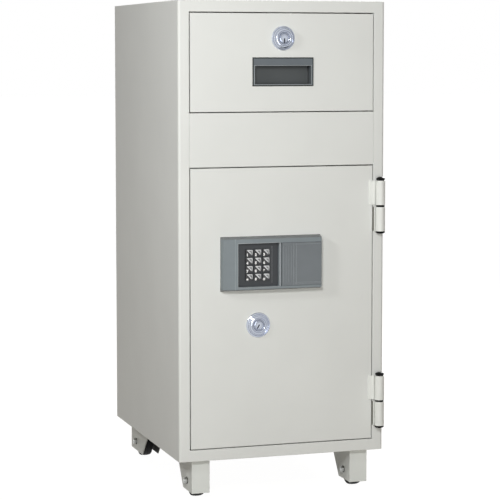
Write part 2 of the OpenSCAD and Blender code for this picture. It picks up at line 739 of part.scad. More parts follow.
module keypad_plate() color(black) placed() difference() {
    block([window_x[0] + 0.1, window_x[1] - 0.1], [face_y - face_t, face_y],
          [window_z[0] + 0.1, window_z[1] - 0.1]);
    for (i = [0:11]) facing(key_x(i), key_z(i), face_y - face_t - 1, face_y + 1)
        round_rect(key_w + 2 * clear, key_h + 2 * clear, 2);
}

module keypad_cover() color(blue_grey) placed() difference() {
    union() {
        block(slider_x, [-unit_d - 1, track_y - clear], [window_z[0] + clear, window_z[1] - clear]);
        block(slider_x, [track_y - 2.3, track_y - clear], [window_z[0] - 1.7, window_z[1] + 1.7]);
    }
    for (i = [0:4]) translate([slider_x[0] + 5 + 6.4 * i, 0, 0])
        block([0, 2.5], [-unit_d - 2, groove_d - 1 - unit_d], [window_z[0] + 9, window_z[1] - 9]);
}

module key(i) color(steel) placed() {
    facing(key_x(i), key_z(i), face_y - 6.5, face_y + 1) round_rect(key_w, key_h, 1.7);
    facing(key_x(i), key_z(i), face_y + 0.2, face_y + 2) square([key_w + 2.4, key_h + 2.4], center = true);
}

outer_case();
front_frame();
fixed_panel();
side_insulation();
back_insulation();
base_insulation();
top_insulation();
shelf_insulation();
inner_liner();
chute_plate();
lock_keeper();
drawer_rails();
hinge_frame_barrels();
hinge_pins();
bracket(-1, 0);  // bracket_front_left
bracket(1, 0);  // bracket_front_right
bracket(-1, 1);  // bracket_rear_left
bracket(1, 1);  // bracket_rear_right
axle_bolts();
wheel(-1, 0);  // wheel_front_left
wheel(1, 0);  // wheel_front_right
wheel(-1, 1);  // wheel_rear_left
wheel(1, 1);  // wheel_rear_right
drawer_front();
drawer_box();
drawer_runners();
flap_rod();
drop_flap();
drawer_pull();
drawer_lock_body();
drawer_lock_plug();
drawer_lock_cam();
door_skin();
door_insulation();
door_back_plate();
door_inner_cover();
dead_bolts();
bolt_guides();
control_box();
hinge_door_leaves();
hinge_caps();
door_lock_body();
door_lock_plug();
lock_pinion();
bolt_work();
keypad_housing();
keypad_plate();
keypad_cover();
key(0);  // key_1
key(1);  // key_2
key(2);  // key_3
key(3);  // key_4
key(4);  // key_5
key(5);  // key_6
key(6);  // key_7
key(7);  // key_8
key(8);  // key_9
key(9);  // key_clear
key(10);  // key_0
key(11);  // key_enter
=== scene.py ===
"""Looks of an upright deposit safe on fixed casters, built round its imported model.

Sizes are in metres in the model's own frame: x runs to the right, y to the back and z up.
"""

from __future__ import annotations

import logging
import math
from dataclasses import dataclass, field
from enum import Enum
from typing import Any, Iterable, Optional, Sequence, Union

import bmesh
import bpy
from mathutils import Matrix, Vector


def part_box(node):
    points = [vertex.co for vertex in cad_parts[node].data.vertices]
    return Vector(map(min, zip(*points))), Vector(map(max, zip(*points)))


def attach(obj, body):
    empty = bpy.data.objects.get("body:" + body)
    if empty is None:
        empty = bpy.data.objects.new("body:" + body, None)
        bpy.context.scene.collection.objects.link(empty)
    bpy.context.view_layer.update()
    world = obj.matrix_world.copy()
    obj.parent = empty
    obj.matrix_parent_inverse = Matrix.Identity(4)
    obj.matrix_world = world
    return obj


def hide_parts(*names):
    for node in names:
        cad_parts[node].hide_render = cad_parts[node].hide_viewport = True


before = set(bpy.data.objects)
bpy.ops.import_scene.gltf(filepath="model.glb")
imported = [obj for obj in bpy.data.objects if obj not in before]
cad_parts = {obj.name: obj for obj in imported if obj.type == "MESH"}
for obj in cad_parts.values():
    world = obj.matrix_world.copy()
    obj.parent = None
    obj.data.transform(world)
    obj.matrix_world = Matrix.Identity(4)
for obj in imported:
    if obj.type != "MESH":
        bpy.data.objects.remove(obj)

log = logging.getLogger("deposit_safe")
Colour = tuple[float, float, float]
Point2 = tuple[float, float]
Point3 = tuple[float, float, float]
Number = Union[float, "Val"]

MM = 0.001
WHITE = (1.0, 1.0, 1.0, 1.0)
# Outputs and inputs of Blender's nodes that are reached by index
OBJECT_PLACE = 3
NORMAL = 1
DOT_VALUE = 1
MIX_FIRST, MIX_SECOND, MIX_COLOUR = 6, 7, 2
# Stretch of a noise's middle values to the whole range from 0 to 1, and how rough a noise is
CLOUD_RANGE = (0.3, 0.7)
NOISE_ROUGHNESS = 0.55
# How far a normal is bent where an edge starts to take a painted highlight and a smoother finish, and where
# it takes them in full
EDGE_RANGE = (0.02, 0.25)
EDGE_SAMPLES = 4
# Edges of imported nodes: corners closer than the first are joined, faces flatter than the
# second become one, and edges sharper than the third are eased
WELD_REACH = 1e-6
FLAT_ANGLE = math.radians(0.5)
EASE_ANGLE = math.radians(32)
# Height of a digit as a share of its font's size
DIGIT_SHARE = 0.7
# How far each bar of a star stands past the one before, so that no two faces share a plane
STAR_LIFT = 0.01 * MM
# Steps of the curve that eases a plate's corner, from its start to its end
CURVE_STEPS = (0.0, 0.33, 0.67, 1.0)
# A leg of a bead runs to the back where its y is more than the first; a mitre's cosine is
# taken as no less than the second
RUNS_BACK = 0.7
LEAST_COSINE = 0.3
# Section of a pan head with a dimple in it, as shares of its radius and its rise
SCREW_RISE = 0.55
SCREW_SECTION = ((1.0, 0.0), (1.0, 0.25), (0.86, 0.7), (0.6, 0.95), (0.34, 1.0), (0.3, 0.55), (0.0, 0.45))


def from_display(red: int, green: int, blue: int) -> Colour:
    """Turn a display colour into the linear one that a shader takes.

    Args:
        red: Red from 0 to 255.
        green: Green from 0 to 255.
        blue: Blue from 0 to 255.

    Returns:
        The linear colour, each part from 0 to 1.
    """
    def linear(value: int) -> float:
        """Linear value of one channel, by the formula of the sRGB standard."""
        part = value / 255
        return part / 12.92 if part <= 0.04045 else ((part + 0.055) / 1.055) ** 2.4

    return linear(red), linear(green), linear(blue)


def scaled(colour: Colour, factor: float) -> Colour:
    """A colour made lighter or darker by a factor, kept under 1."""
    return tuple(min(part * factor, 1.0) for part in colour)


class Axis(Enum):
    """The axis that a turned or extruded form runs along."""

    X = Matrix(((0, 0, 1), (1, 0, 0), (0, 1, 0)))
    Y = Matrix(((1, 0, 0), (0, 0, 1), (0, 1, 0)))
    Z = Matrix(((1, 0, 0), (0, 1, 0), (0, 0, 1)))

    def point(self, first: float, second: float, along: float) -> Vector:
        """A point from two coordinates across the axis, in X, Y, Z order, and one along it."""
        return self.value @ Vector((first, second, along))


class Side(Enum):
    """Left or right of the safe, seen from the front."""

    LEFT = -1
    RIGHT = 1


class End(Enum):
    """Front or rear of the safe."""

    FRONT = -1
    REAR = 1


class Val:
    """A shader socket that takes part in Python expressions."""

    def __init__(self, graph: "Graph", source: bpy.types.Node, output: Union[int, str] = 0) -> None:
        """Wrap an output of a node."""
        self.graph = graph
        self.source = source
        self.output = output

    @property
    def socket(self) -> bpy.types.NodeSocket:
        """The socket that is wrapped."""
        return self.source.outputs[self.output]

    def beside(self, output: str) -> "Val":
        """Another output of the same node."""
        return Val(self.graph, self.source, output)

    def _math(self, operation: str, first: Number, second: Number) -> "Val":
        """One Math node on two values."""
        return self.graph.node("ShaderNodeMath", {"operation": operation}, {0: first, 1: second})

    def __add__(self, other: Number) -> "Val":
        """Sum of this value and another."""
        return self._math("ADD", self, other)

    __radd__ = __add__

    def __sub__(self, other: Number) -> "Val":
        """This value less another."""
        return self._math("SUBTRACT", self, other)

    def __rsub__(self, other: Number) -> "Val":
        """Another value less this one."""
        return self._math("SUBTRACT", other, self)

    def __mul__(self, other: Number) -> "Val":
        """Product of this value and another."""
        return self._math("MULTIPLY", self, other)

    __rmul__ = __mul__

    def __abs__(self) -> "Val":
        """This value without its sign."""
        return self.graph.node("ShaderNodeMath", {"operation": "ABSOLUTE"}, {0: self})

    def stretched(self, low: float, high: float) -> "Val":
        """This value stretched so that low becomes 0 and high becomes 1, and clamped there."""
        values = {0: self, 1: low, 2: high, 3: 0.0, 4: 1.0}
        return self.graph.node("ShaderNodeMapRange", {"clamp": True}, values)


class Graph:
    """The nodes of one material or world."""

    def __init__(self, owner: Union[bpy.types.Material, bpy.types.World]) -> None:
        """Start with no nodes."""
        owner.use_nodes = True
        self.tree = owner.node_tree
        self.tree.nodes.clear()

    def node(self, kind: str, settings: dict[str, Any], values: dict[Any, Any],
             output: Union[int, str] = 0) -> Val:
        """Add a node.

        Args:
            kind: The node's type.
            settings: What is set on the node first.
            values: The sockets' values or links, by index or name.
            output: Index or name of the output that is used.

        Returns:
            The output.
        """
        made = self.tree.nodes.new(kind)
        for key, value in settings.items():
            setattr(made, key, value)
        for key, value in values.items():
            if isinstance(value, Val):
                self.tree.links.new(value.socket, made.inputs[key])
            else:
                made.inputs[key].default_value = value
        return Val(self, made, output)

    def sight(self) -> Val:
        """1 for rays that show the surroundings, straight or in metal and glass, and 0 for light."""
        rays = self.node("ShaderNodeLightPath", {}, {}, "Is Camera Ray")
        return (rays + rays.beside("Is Glossy Ray") + rays.beside("Is Transmission Ray")).stretched(0, 1)


class Surface(Graph):
    """The nodes of a material that has a Principled shader."""

    def __init__(self, name: str, **constants: Any) -> None:
        """Start a material.

        Args:
            name: The material's name.
            **constants: Values of the shader's own sockets, with _ for a space in a socket's name.
        """
        self.made = bpy.data.materials.new(name)
        super().__init__(self.made)
        values = {socket.replace("_", " "): value for socket, value in constants.items()}
        self.shader = self.node("ShaderNodeBsdfPrincipled", {}, values)

    def material(self, shown: Optional[Val] = None) -> bpy.types.Material:
        """End the material with its shader, or with what is shown in its place."""
        self.node("ShaderNodeOutputMaterial", {}, {"Surface": shown or self.shader})
        return self.made

    def feed(self, socket: str, value: Val) -> None:
        """Link a value to one of the shader's sockets."""
        self.tree.links.new(value.socket, self.shader.source.inputs[socket])

    def bump(self, height: Val, depth: float) -> None:
        """Raise the surface by a height from 0 to 1, times a depth in metres."""
        values = {"Height": height, "Distance": depth, "Strength": 1.0}
        self.feed("Normal", self.node("ShaderNodeBump", {}, values))

    def place(self, stretch: Point3 = (1, 1, 1)) -> Val:
        """Coordinates on the object in metres, stretched along the axes."""
        raw = self.node("ShaderNodeTexCoord", {}, {}, OBJECT_PLACE)
        if stretch == (1, 1, 1):
            return raw
        return self.node("ShaderNodeVectorMath", {"operation": "MULTIPLY"}, {0: raw, 1: stretch})

    def along(self, axis: int) -> Val:
        """One coordinate of the place in metres, by the axis' index."""
        return self.node("ShaderNodeSeparateXYZ", {}, {0: self.place()}, axis)

    def noise(self, scale: float, detail: float, stretch: Point3 = (1, 1, 1)) -> Val:
        """Noise from 0 to 1 with the given number of features a metre."""
        values = {"Vector": self.place(stretch), "Scale": scale, "Detail": detail,
                  "Roughness": NOISE_ROUGHNESS}
        return self.node("ShaderNodeTexNoise", {}, values)

    def cells(self, scale: float) -> Val:
        """Distance to the nearest of scattered points, for grain and pores."""
        return self.node("ShaderNodeTexVoronoi", {}, {"Vector": self.place(), "Scale": scale})

    def edges(self, radius: float) -> Val:
        """1 on sharp outer edges and 0 on flats, from the bent normal of a bevel."""
        bent = self.node("ShaderNodeBevel", {"samples": EDGE_SAMPLES}, {"Radius": radius})
        plain = self.node("ShaderNodeNewGeometry", {}, {}, NORMAL)
        settings = {"operation": "DOT_PRODUCT"}
        same = self.node("ShaderNodeVectorMath", settings, {0: bent, 1: plain}, DOT_VALUE)
        return (1 - same).stretched(*EDGE_RANGE)

    def tint(self, low: Colour, high: Colour, factor: Number) -> Val:
        """A colour between two, by a factor."""
        values = {0: factor, MIX_FIRST: (*low, 1), MIX_SECOND: (*high, 1)}
        return self.node("ShaderNodeMix", {"data_type": "RGBA"}, values, MIX_COLOUR)

    def laid_over(self, base: Val, top: Colour, factor: Number) -> Val:
        """A colour laid over a base that already varies, by a factor."""
        values = {0: factor, MIX_FIRST: base, MIX_SECOND: (*top, 1)}
        return self.node("ShaderNodeMix", {"data_type": "RGBA"}, values, MIX_COLOUR)


@dataclass(frozen=True)
class Finish:
    """What every finish has: a name, the record's slot, and a base colour."""

    name: str
    slot: str
    colour: Colour

    def build(self) -> bpy.types.Material:
        """Make the material."""
        raise NotImplementedError

    def mottled(self, surface: Surface, low: float, high: float, factor: Val) -> Val:
        """The colour between two shares of itself, by a factor."""
        return surface.tint(scaled(self.colour, low), scaled(self.colour, high), factor)


@dataclass(frozen=True)
class Enamel(Finish):
    """Baked enamel on steel sheet, with a faint orange peel and a painted highlight along its edges.

    Scales are features a metre, peel is the depth of the orange peel in millimetres, and the
    changes say how much smoother or rougher the finish is on a speck or an edge.
    """

    roughness: float = 0.44
    drift: float = 0.02
    gloss: float = 0.28
    cloud_scale: float = 5.5
    speck_scale: float = 900
    speck_change: float = 0.06
    peel: float = 0.05
    peel_scale: float = 420
    peel_share: float = 0.8
    # Edges are painted lighter, a painted highlight, and are a little smoother
    edge_radius: float = 1.2 * MM
    rub_light: float = 1.18
    highlight_share: float = 0.35
    rub_change: float = 0.05

    def build(self) -> bpy.types.Material:
        """Make the material."""
        surface = Surface(self.name, Specular_IOR_Level=self.gloss)
        cloud = surface.noise(self.cloud_scale, detail=3.0).stretched(*CLOUD_RANGE)
        speck = surface.noise(self.speck_scale, detail=1.0)
        base = self.mottled(surface, 1 - self.drift, 1 + self.drift, cloud)
        edge_mask = surface.edges(self.edge_radius)
        # Lighter edges: a painted highlight
        highlit = surface.laid_over(base, scaled(self.colour, self.rub_light), edge_mask * self.highlight_share)
        surface.feed("Base Color", self.bare_over(surface, highlit))
        surface.feed("Roughness", self.roughness + self.speck_change * speck - self.rub_change * edge_mask)
        peel = surface.noise(self.peel_scale, detail=2.0)
        surface.bump(peel * self.peel_share + speck * (1 - self.peel_share), self.peel * MM)
        return surface.material()

    def bare_over(self, surface: Surface, base: Val) -> Val:
        """What the colour becomes under the painted shade between a bracket's plates: nothing on a plain
        sheet.
        """
        return base


@dataclass(frozen=True)
class ShadedInside(Enamel):
    """Enamel on a caster bracket, with painted shade, a dark colour, on the faces between its plates.

    The plates of each bracket stand half on either side of middle in x, left and right alike. The
    webs' inner faces lie web_half before and behind web_middle in y. The shade fades in over the fades.
    """

    bare: Colour = from_display(62, 62, 58)
    middle: float = 194.5 * MM
    half: float = 19.0 * MM
    web_middle: float = 7.15 * MM
    web_half: float = 279.0 * MM
    # The painted shade fades in over these widths at the plates and the webs
    plate_fade: Point2 = (0.4 * MM, 0.8 * MM)
    web_fade: Point2 = (-1.2 * MM, -0.8 * MM)

    def bare_over(self, surface: Surface, base: Val) -> Val:
        """Lay painted shade over the faces between the side plates and behind the web.

        Args:
            surface: The material's nodes.
            base: The colour of the outside.

        Returns:
            The colour with its painted shade inside.
        """
        plates = abs(abs(surface.along(0)) - self.middle)
        between = 1 - plates.stretched(*(self.half + edge for edge in self.plate_fade))
        webs = abs(surface.along(1) - self.web_middle)
        behind = 1 - webs.stretched(*(self.web_half + edge for edge in self.web_fade))
        return surface.laid_over(base, self.bare, between * behind)


@dataclass(frozen=True)
class Moulding(Finish):
    """Moulded plastic with a fine spark-eroded grain, its depth in millimetres."""

    roughness: float = 0.45
    grain: float = 0.03
    grain_scale: float = 1500
    highlight_amount: float = 0.5
    sheen: float = 0.5
    cloud_scale: float = 18
    drift: float = 0.06
    # Edges are painted lighter, a painted highlight, and are a little smoother
    edge_radius: float = 0.8 * MM
    rub_light: float = 1.5
    change: float = 0.08

    def build(self) -> bpy.types.Material:
        """Make the material."""
        surface = Surface(self.name, Specular_IOR_Level=self.sheen)
        grain = surface.cells(self.grain_scale)
        cloud = surface.noise(self.cloud_scale, detail=2.0).stretched(*CLOUD_RANGE)
        edge_mask = surface.edges(self.edge_radius)
        shaded = self.shade_over(surface, self.mottled(surface, 1 - self.drift, 1 + self.drift, cloud))
        # Lighter edges: a painted highlight
        highlit = surface.laid_over(shaded, scaled(self.colour, self.rub_light), edge_mask * self.highlight_amount)
        surface.feed("Base Color", highlit)
        surface.feed("Roughness", self.roughness + self.change * grain - self.change * edge_mask)
        surface.bump(grain, self.grain * MM)
        return surface.material()

    def shade_over(self, surface: Surface, base: Val) -> Val:
        """What the base colour becomes under painted shade: nothing on a plain moulding."""
        return base


@dataclass(frozen=True)
class Recessed(Moulding):
    """Moulded plastic with painted shade in its recesses and, where they are given, on its upper and lower
    bands.

    Between the two values of deep in y the shade comes in towards the back. Between the two
    distances of band above and below middle in z it comes in by band_share.
    """

    shade: Colour = (0.1, 0.1, 0.1)
    deep: Point2 = (0.0, 1.0)
    middle: float = 0.0
    band: Optional[Point2] = None
    band_share: float = 0.55

    def shade_over(self, surface: Surface, base: Val) -> Val:
        """Lay the shade over the base.

        Args:
            surface: The material's nodes.
            base: The colour of the flats.

        Returns:
            The colour with its shade.
        """
        if self.band:
            bands = abs(surface.along(2) - self.middle).stretched(*self.band)
            base = surface.laid_over(base, self.shade, bands * self.band_share)
        return surface.laid_over(base, self.shade, surface.along(1).stretched(*self.deep))


@dataclass(frozen=True)
class Brushed(Finish):
    """Plated or polished steel with drawn lines along the axis whose stretch is least."""

    roughness: float = 0.3
    lines: Point3 = (1, 1, 0.03)
    line_depth: float = 0.012
    line_scale: float = 1400
    line_change: float = 0.16
    stain: float = 0.1
    stain_scale: float = 35
    stain_range: Point2 = (0.35, 0.65)
    stain_change: float = 0.06

    def build(self) -> bpy.types.Material:
        """Make the material."""
        surface = Surface(self.name, Metallic=1.0)
        lines = surface.noise(self.line_scale, 2.0, self.lines)
        cloud = surface.noise(self.stain_scale, detail=3.0)
        base = self.mottled(surface, 1 - self.stain, 1.0, cloud.stretched(*self.stain_range))
        surface.feed("Base Color", base)
        surface.feed("Roughness", self.roughness + self.line_change * lines - self.stain_change * cloud)
        surface.bump(lines, self.line_depth * MM)
        return surface.material()


@dataclass(frozen=True)
class Rubber(Finish):
    """Dull tyre rubber with dust in its pores."""

    roughness: float = 0.62
    dust_change: float = 0.2
    sheen: float = 0.3
    pore_share: float = 0.5
    dust_scale: float = 60
    dust_range: Point2 = (0.5, 0.85)
    dust_light: float = 2.2
    pore_scale: float = 2200
    pore_depth: float = 0.08 * MM

    def build(self) -> bpy.types.Material:
        """Make the material."""
        surface = Surface(self.name, Specular_IOR_Level=self.sheen)
        dust = surface.noise(self.dust_scale, detail=4.0)
        pores = surface.cells(self.pore_scale)
        base = self.mottled(surface, 1.0, self.dust_light, dust.stretched(*self.dust_range))
        surface.feed("Base Color", base)
        surface.feed("Roughness", self.roughness + self.dust_change * dust)
        surface.bump(pores * self.pore_share + dust * (1 - self.pore_share), self.pore_depth)
        return surface.material()


@dataclass(frozen=True)
class CastBoard(Finish):
    """Cast insulation, pale and chalky, with pin holes."""

    roughness: float = 0.8
    cloud_change: float = 0.15
    sheen: float = 0.2
    hole_share: float = 0.7
    cloud_scale: float = 26
    dark: float = 0.82
    light: float = 1.08
    hole_scale: float = 420
    hole_range: Point2 = (0.05, 0.3)
    hole_depth: float = 0.5 * MM

    def build(self) -> bpy.types.Material:
        """Make the material."""
        surface = Surface(self.name, Specular_IOR_Level=self.sheen)
        cloud = surface.noise(self.cloud_scale, detail=4.0)
        holes = surface.cells(self.hole_scale).stretched(*self.hole_range)
        base = self.mottled(surface, self.dark, self.light, cloud.stretched(*CLOUD_RANGE))
        surface.feed("Base Color", base)
        surface.feed("Roughness", self.roughness + self.cloud_change * cloud)
        surface.bump(holes * self.hole_share + cloud * (1 - self.hole_share), self.hole_depth)
        return surface.material()


@dataclass(frozen=True)
class Ink(Finish):
    """Print on a key, slightly uneven."""

    roughness: float = 0.45
    patch_change: float = 0.15
    sheen: float = 0.4
    patch_scale: float = 2500
    thin: float = 0.9

    def build(self) -> bpy.types.Material:
        """Make the material."""
        surface = Surface(self.name, Specular_IOR_Level=self.sheen)
        patch = surface.noise(self.patch_scale, detail=2.0)
        surface.feed("Base Color", self.mottled(surface, self.thin, 1.0, patch))
        surface.feed("Roughness", self.roughness + self.patch_change * patch)
        return surface.material()


CASE_PAINT = Enamel("case_enamel", "case_paint", from_display(226, 228, 225))
# A lighter copy of the case enamel on the hinges: a painted highlight where they catch more of the lamp
LIT_HINGE_PAINT = Enamel("hinge_enamel_lit", "case_paint", from_display(231, 233, 229), roughness=0.3)
# A copy of the case enamel a shade darker than the hinges', for the welds at their barrels: painted shade in
# the crease
SHADED_HINGE_ROOT = Enamel("hinge_root_shaded_enamel", "case_paint", from_display(222, 224, 220), roughness=0.5)
INNER_PAINT = Enamel("inner_enamel", "inner_paint", from_display(214, 214, 207), roughness=0.42, drift=0.03)
# Bracket enamel with a dark colour between the plates: painted shade inside each bracket
BRACKET_PAINT = ShadedInside("bracket_enamel", "bracket_paint", from_display(226, 229, 225),
                           roughness=0.42, drift=0.04)

CAST_BOARD = CastBoard("cast_insulation", "insulation", from_display(196, 191, 180))
ZINC = Brushed("zinc_plate", "zinc_steel", from_display(186, 188, 186), roughness=0.34, stain=0.22)
# A dark copy of the zinc plate: painted shade round the axle bolts
SHADED_ZINC = Brushed("bolt_dark", "zinc_steel", from_display(52, 50, 46), roughness=0.42, stain=0.3)
BRIGHT_STEEL = Brushed("ground_steel", "bright_steel", from_display(204, 205, 206), roughness=0.2,
                       lines=(0.04, 1, 1))
LOCK_CHROME = Brushed("lock_chrome", "lock_chrome", from_display(194, 200, 212), roughness=0.04,
                      lines=(1, 1, 1), line_depth=0.004, stain=0.06)
# Darker chrome for the lock's turned grooves: painted shade
LOCK_GROOVE_SHADE = Brushed("lock_groove_shade", "lock_chrome", from_display(96, 102, 122), roughness=0.3,
                      lines=(1, 1, 1), line_depth=0.004, stain=0.2)

# Dark block at each key slot: painted shade
SLOT_SHADE = Moulding("slot_shade", "lock_chrome", from_display(34, 36, 40), roughness=0.5,
                      grain=0.004, highlight_amount=0.0, sheen=0.1)
BLACK_CAP = Moulding("black_cap", "black_plastic", from_display(10, 10, 10), roughness=0.14,
                     grain=0.004, highlight_amount=0.0, sheen=0.12)
BLACK_PIN = Moulding("black_pin", "black_steel", from_display(5, 5, 5), roughness=0.3,
                     grain=0.004, highlight_amount=0.0, sheen=0.05)
# Grey strips beside the frame barrels: painted shade
BARREL_SHADE_GREY = Moulding("packing_grey", "black_plastic", from_display(134, 134, 128), roughness=0.6,
                        highlight_amount=0.0, sheen=0.2)
KEY_PLATE = Moulding("key_plate", "black_plastic", from_display(54, 57, 60), roughness=0.42,
                     grain=0.08, grain_scale=700, sheen=0.35)

# The key unit's recesses and bevel bands, the cover's grooves and the pull's cup are darker: painted shade
UNIT_GREY = Recessed("unit_grey", "unit_plastic", from_display(123, 132, 136),
                     shade=from_display(88, 85, 83), deep=(-289.0 * MM, -287.5 * MM),
                     middle=546.0 * MM, band=(56.5 * MM, 59.0 * MM))
COVER_GREY = Recessed("cover_grey", "unit_plastic", from_display(108, 114, 118),
                      shade=from_display(84, 86, 88), deep=(-306.5 * MM, -306.0 * MM))
PULL_GREY = Recessed("pull_grey", "unit_plastic", from_display(97, 104, 109), sheen=0.35,
                     shade=from_display(68, 72, 73), deep=(-285.0 * MM, -274.0 * MM))
# Light beads and lines on the pull and the key unit: painted highlights on lit edges
HIGHLIGHT_GREY = Moulding("highlight_grey", "unit_plastic", from_display(154, 160, 163), roughness=0.3, highlight_amount=0.2)
HIGHLIGHT_LIGHT = Moulding("rim_light", "unit_plastic", from_display(186, 191, 194), roughness=0.25, highlight_amount=0.2)
# Dark lines round the pull's flange and the key unit's foot: painted shade
SHADE_DARK = Moulding("rim_dark", "unit_plastic", from_display(46, 49, 47), roughness=0.5,
                    highlight_amount=0.0, sheen=0.2)
# Dark plates at the sides of the pull's opening: painted shade
PULL_SIDE_SHADE = Moulding("cheek_grey", "unit_plastic", from_display(58, 62, 63), highlight_amount=0.0, sheen=0.3)

KEY_BLACK = Moulding("key_black", "key_plastic", from_display(38, 39, 42), roughness=0.35,
                     grain=0.01, highlight_amount=0.2)
KEY_SILVER = Moulding("key_silver", "key_plastic", from_display(208, 210, 212), roughness=0.3, grain=0.006)
KEY_SHADE = Moulding("key_shade", "key_plastic", from_display(122, 124, 127), roughness=0.35, grain=0.006)
DIGIT_INK = Ink("digit_ink", "key_plastic", from_display(250, 250, 249))
TYRE = Rubber("tyre_rubber", "tyre_rubber", from_display(30, 30, 31))
HUB_GREY = Moulding("hub_plastic", "tyre_rubber", from_display(62, 63, 64), roughness=0.5)


class Paintshop:
    """Makes each finish once and puts it on objects."""

    def __init__(self) -> None:
        """Start with no material made."""
        self._made: dict[str, bpy.types.Material] = {}

    def coat(self, target: bpy.types.Object, finish: Finish) -> None:
        """Give an object one finish, in place of what it had.

        Args:
            target: The object.
            finish: Its finish.
        """
        if finish.name not in self._made:
            self._made[finish.name] = finish.build()
        target.data.materials.clear()
        target.data.materials.append(self._made[finish.name])


class Builder:
    """Collects mesh forms and turns them into one piece."""

    def __init__(self) -> None:
        """Start with an empty mesh."""
        self.mesh = bmesh.new()

    def _ring(self, place: Sequence[Vector]) -> list[bmesh.types.BMVert]:
        """Corners at the given places."""
        return [self.mesh.verts.new(point) for point in place]

    def _round(self, verts: Iterable[bmesh.types.BMVert], radius: float, segments: int) -> None:
        """Round every edge between the given corners.

        Args:
            verts: The corners.
            radius: Radius of the edges.
            segments: Segments of each rounded edge.
        """
        if radius <= 0:
            return
        chosen = set(verts)
        edges = [e for e in self.mesh.edges if e.verts[0] in chosen and e.verts[1] in chosen]
        bmesh.ops.bevel(self.mesh, geom=edges, offset=radius, offset_type="OFFSET", segments=segments,
                        profile=0.5, affect="EDGES", clamp_overlap=True)

    def prism(self, outline: Sequence[Point2], axis: Axis, start: float, end: float,
              radius: float = 0.0, segments: int = 2) -> "Builder":
        """Extrude an outline.

        Args:
            outline: Corners across the axis, in X, Y, Z order of the other two coordinates.
            axis: The axis that it is extruded along.
            start: Where it starts along the axis.
            end: Where it ends.
            radius: Radius of its edges.
            segments: Segments of each rounded edge.

        Returns:
            The builder itself.
        """
        near = self._ring([axis.point(a, b, start) for a, b in outline])
        far = self._ring([axis.point(a, b, end) for a, b in outline])
        count = len(outline)
        for i in range(count):
            j = (i + 1) % count
            self.mesh.faces.new((near[i], near[j], far[j], far[i]))
        self.mesh.faces.new(near[::-1])
        self.mesh.faces.new(far)
        self._round(near + far, radius, segments)
        return self

    def block(self, low: Point3, high: Point3, radius: float = 0.0, segments: int = 2) -> "Builder":
        """A block between two corners with rounded edges."""
        outline = [(low[0], low[1]), (high[0], low[1]), (high[0], high[1]), (low[0], high[1])]
        return self.prism(outline, Axis.Z, low[2], high[2], radius, segments)

    def plate(self, outline: Sequence[Point2], y: Point2, ease: float) -> "Builder":
        """A flat plate that faces the front, with its corners eased.

        Args:
            outline: Its corners as x and z.
            y: Its front and back.
            ease: How far from each corner the ease starts.

        Returns:
            The builder itself.
        """
        corners = [Vector(point) for point in outline]
        eased = []
        for i, corner in enumerate(corners):
            start = corner + (corners[i - 1] - corner).normalized() * ease
            end = corner + (corners[(i + 1) % len(corners)] - corner).normalized() * ease
            for t in CURVE_STEPS:
                eased.append(tuple((1 - t) ** 2 * start + 2 * t * (1 - t) * corner + t * t * end))
        return self.prism(eased, Axis.Y, y[0], y[1])

    def turned(self, points: Sequence[Point2], axis: Axis, centre: Sequence[float],
               sides: int = 48) -> "Builder":
        """Turn a profile about an axis.

        Args:
            points: Radius and place along the axis, from one end to the other, as a closed outline
                if it doesn't start and end on the axis.
            axis: The axis.
            centre: A point on the axis, where the place along it is 0.
            sides: Number of sides.

        Returns:
            The builder itself.
        """
        closed = points[0][0] > 0 or points[-1][0] > 0
        origin = Vector(centre)
        turn = [2 * math.pi * i / sides for i in range(sides)]
        rings = []
        for radius, along in points:
            steps = turn if radius > 0 else [0.0]
            rings.append(self._ring([
                origin + axis.point(radius * math.cos(a), radius * math.sin(a), along) for a in steps]))
        pairs = list(zip(rings, rings[1:])) + ([(rings[-1], rings[0])] if closed else [])
        for first, second in pairs:
            for i in range(sides):
                j = (i + 1) % sides
                corners = dict.fromkeys((first[i % len(first)], first[j % len(first)],
                                         second[j % len(second)], second[i % len(second)]))
                if len(corners) > 2:
                    self.mesh.faces.new(list(corners))
        return self

    def tube(self, path: Sequence[Sequence[float]], radius: float, sides: int = 8,
             closed: bool = False) -> "Builder":
        """Run a round bead along straight legs, with mitred corners.

        Args:
            path: The corners that it runs through.
            radius: Its radius.
            sides: Number of sides.
            closed: Whether it ends where it starts.

        Returns:
            The builder itself.
        """
        points = [Vector(p) for p in path]
        count = len(points)
        turn = [2 * math.pi * k / sides for k in range(sides)]
        rings = []
        for i, point in enumerate(points):
            before = points[i - 1] if closed or i > 0 else None
            after = points[(i + 1) % count] if closed or i < count - 1 else None
            ahead = (after - point).normalized() if after is not None else (point - before).normalized()
            behind = (point - before).normalized() if before is not None else ahead
            along = (ahead + behind).normalized()
            up = Vector((0, -1, 0)) if abs(ahead.y) < RUNS_BACK else Vector((0, 0, 1))
            across = along.cross(up).normalized()
            mitre = 1 / max(along.dot(ahead), LEAST_COSINE)
            up = across.cross(along).normalized()
            rings.append(self._ring([
                point + radius * (mitre * math.cos(a) * across + math.sin(a) * up) for a in turn]))
        pairs = list(zip(rings, rings[1:])) + ([(rings[-1], rings[0])] if closed else [])
        for first, second in pairs:
            for k in range(sides):
                m = (k + 1) % sides
                self.mesh.faces.new((first[k], first[m], second[m], second[k]))
        if not closed:
            self.mesh.faces.new(rings[0][::-1])
            self.mesh.faces.new(rings[-1])
        return self

    def upright(self, x: float, y: float, z: Point2, radius: float, sides: int = 8) -> "Builder":
        """A straight upright bead between two heights."""
        return self.tube([(x, y, z[0]), (x, y, z[1])], radius, sides)

    def rim(self, corners: tuple[Point2, Point2], y: float, radius: float) -> "Builder":
        """A round bead along a rectangle that faces the front, between two (x, z) corners."""
        (left, bottom), (right, top) = corners
        path = [(left, y, bottom), (right, y, bottom), (right, y, top), (left, y, top)]
        return self.tube(path, radius, closed=True)

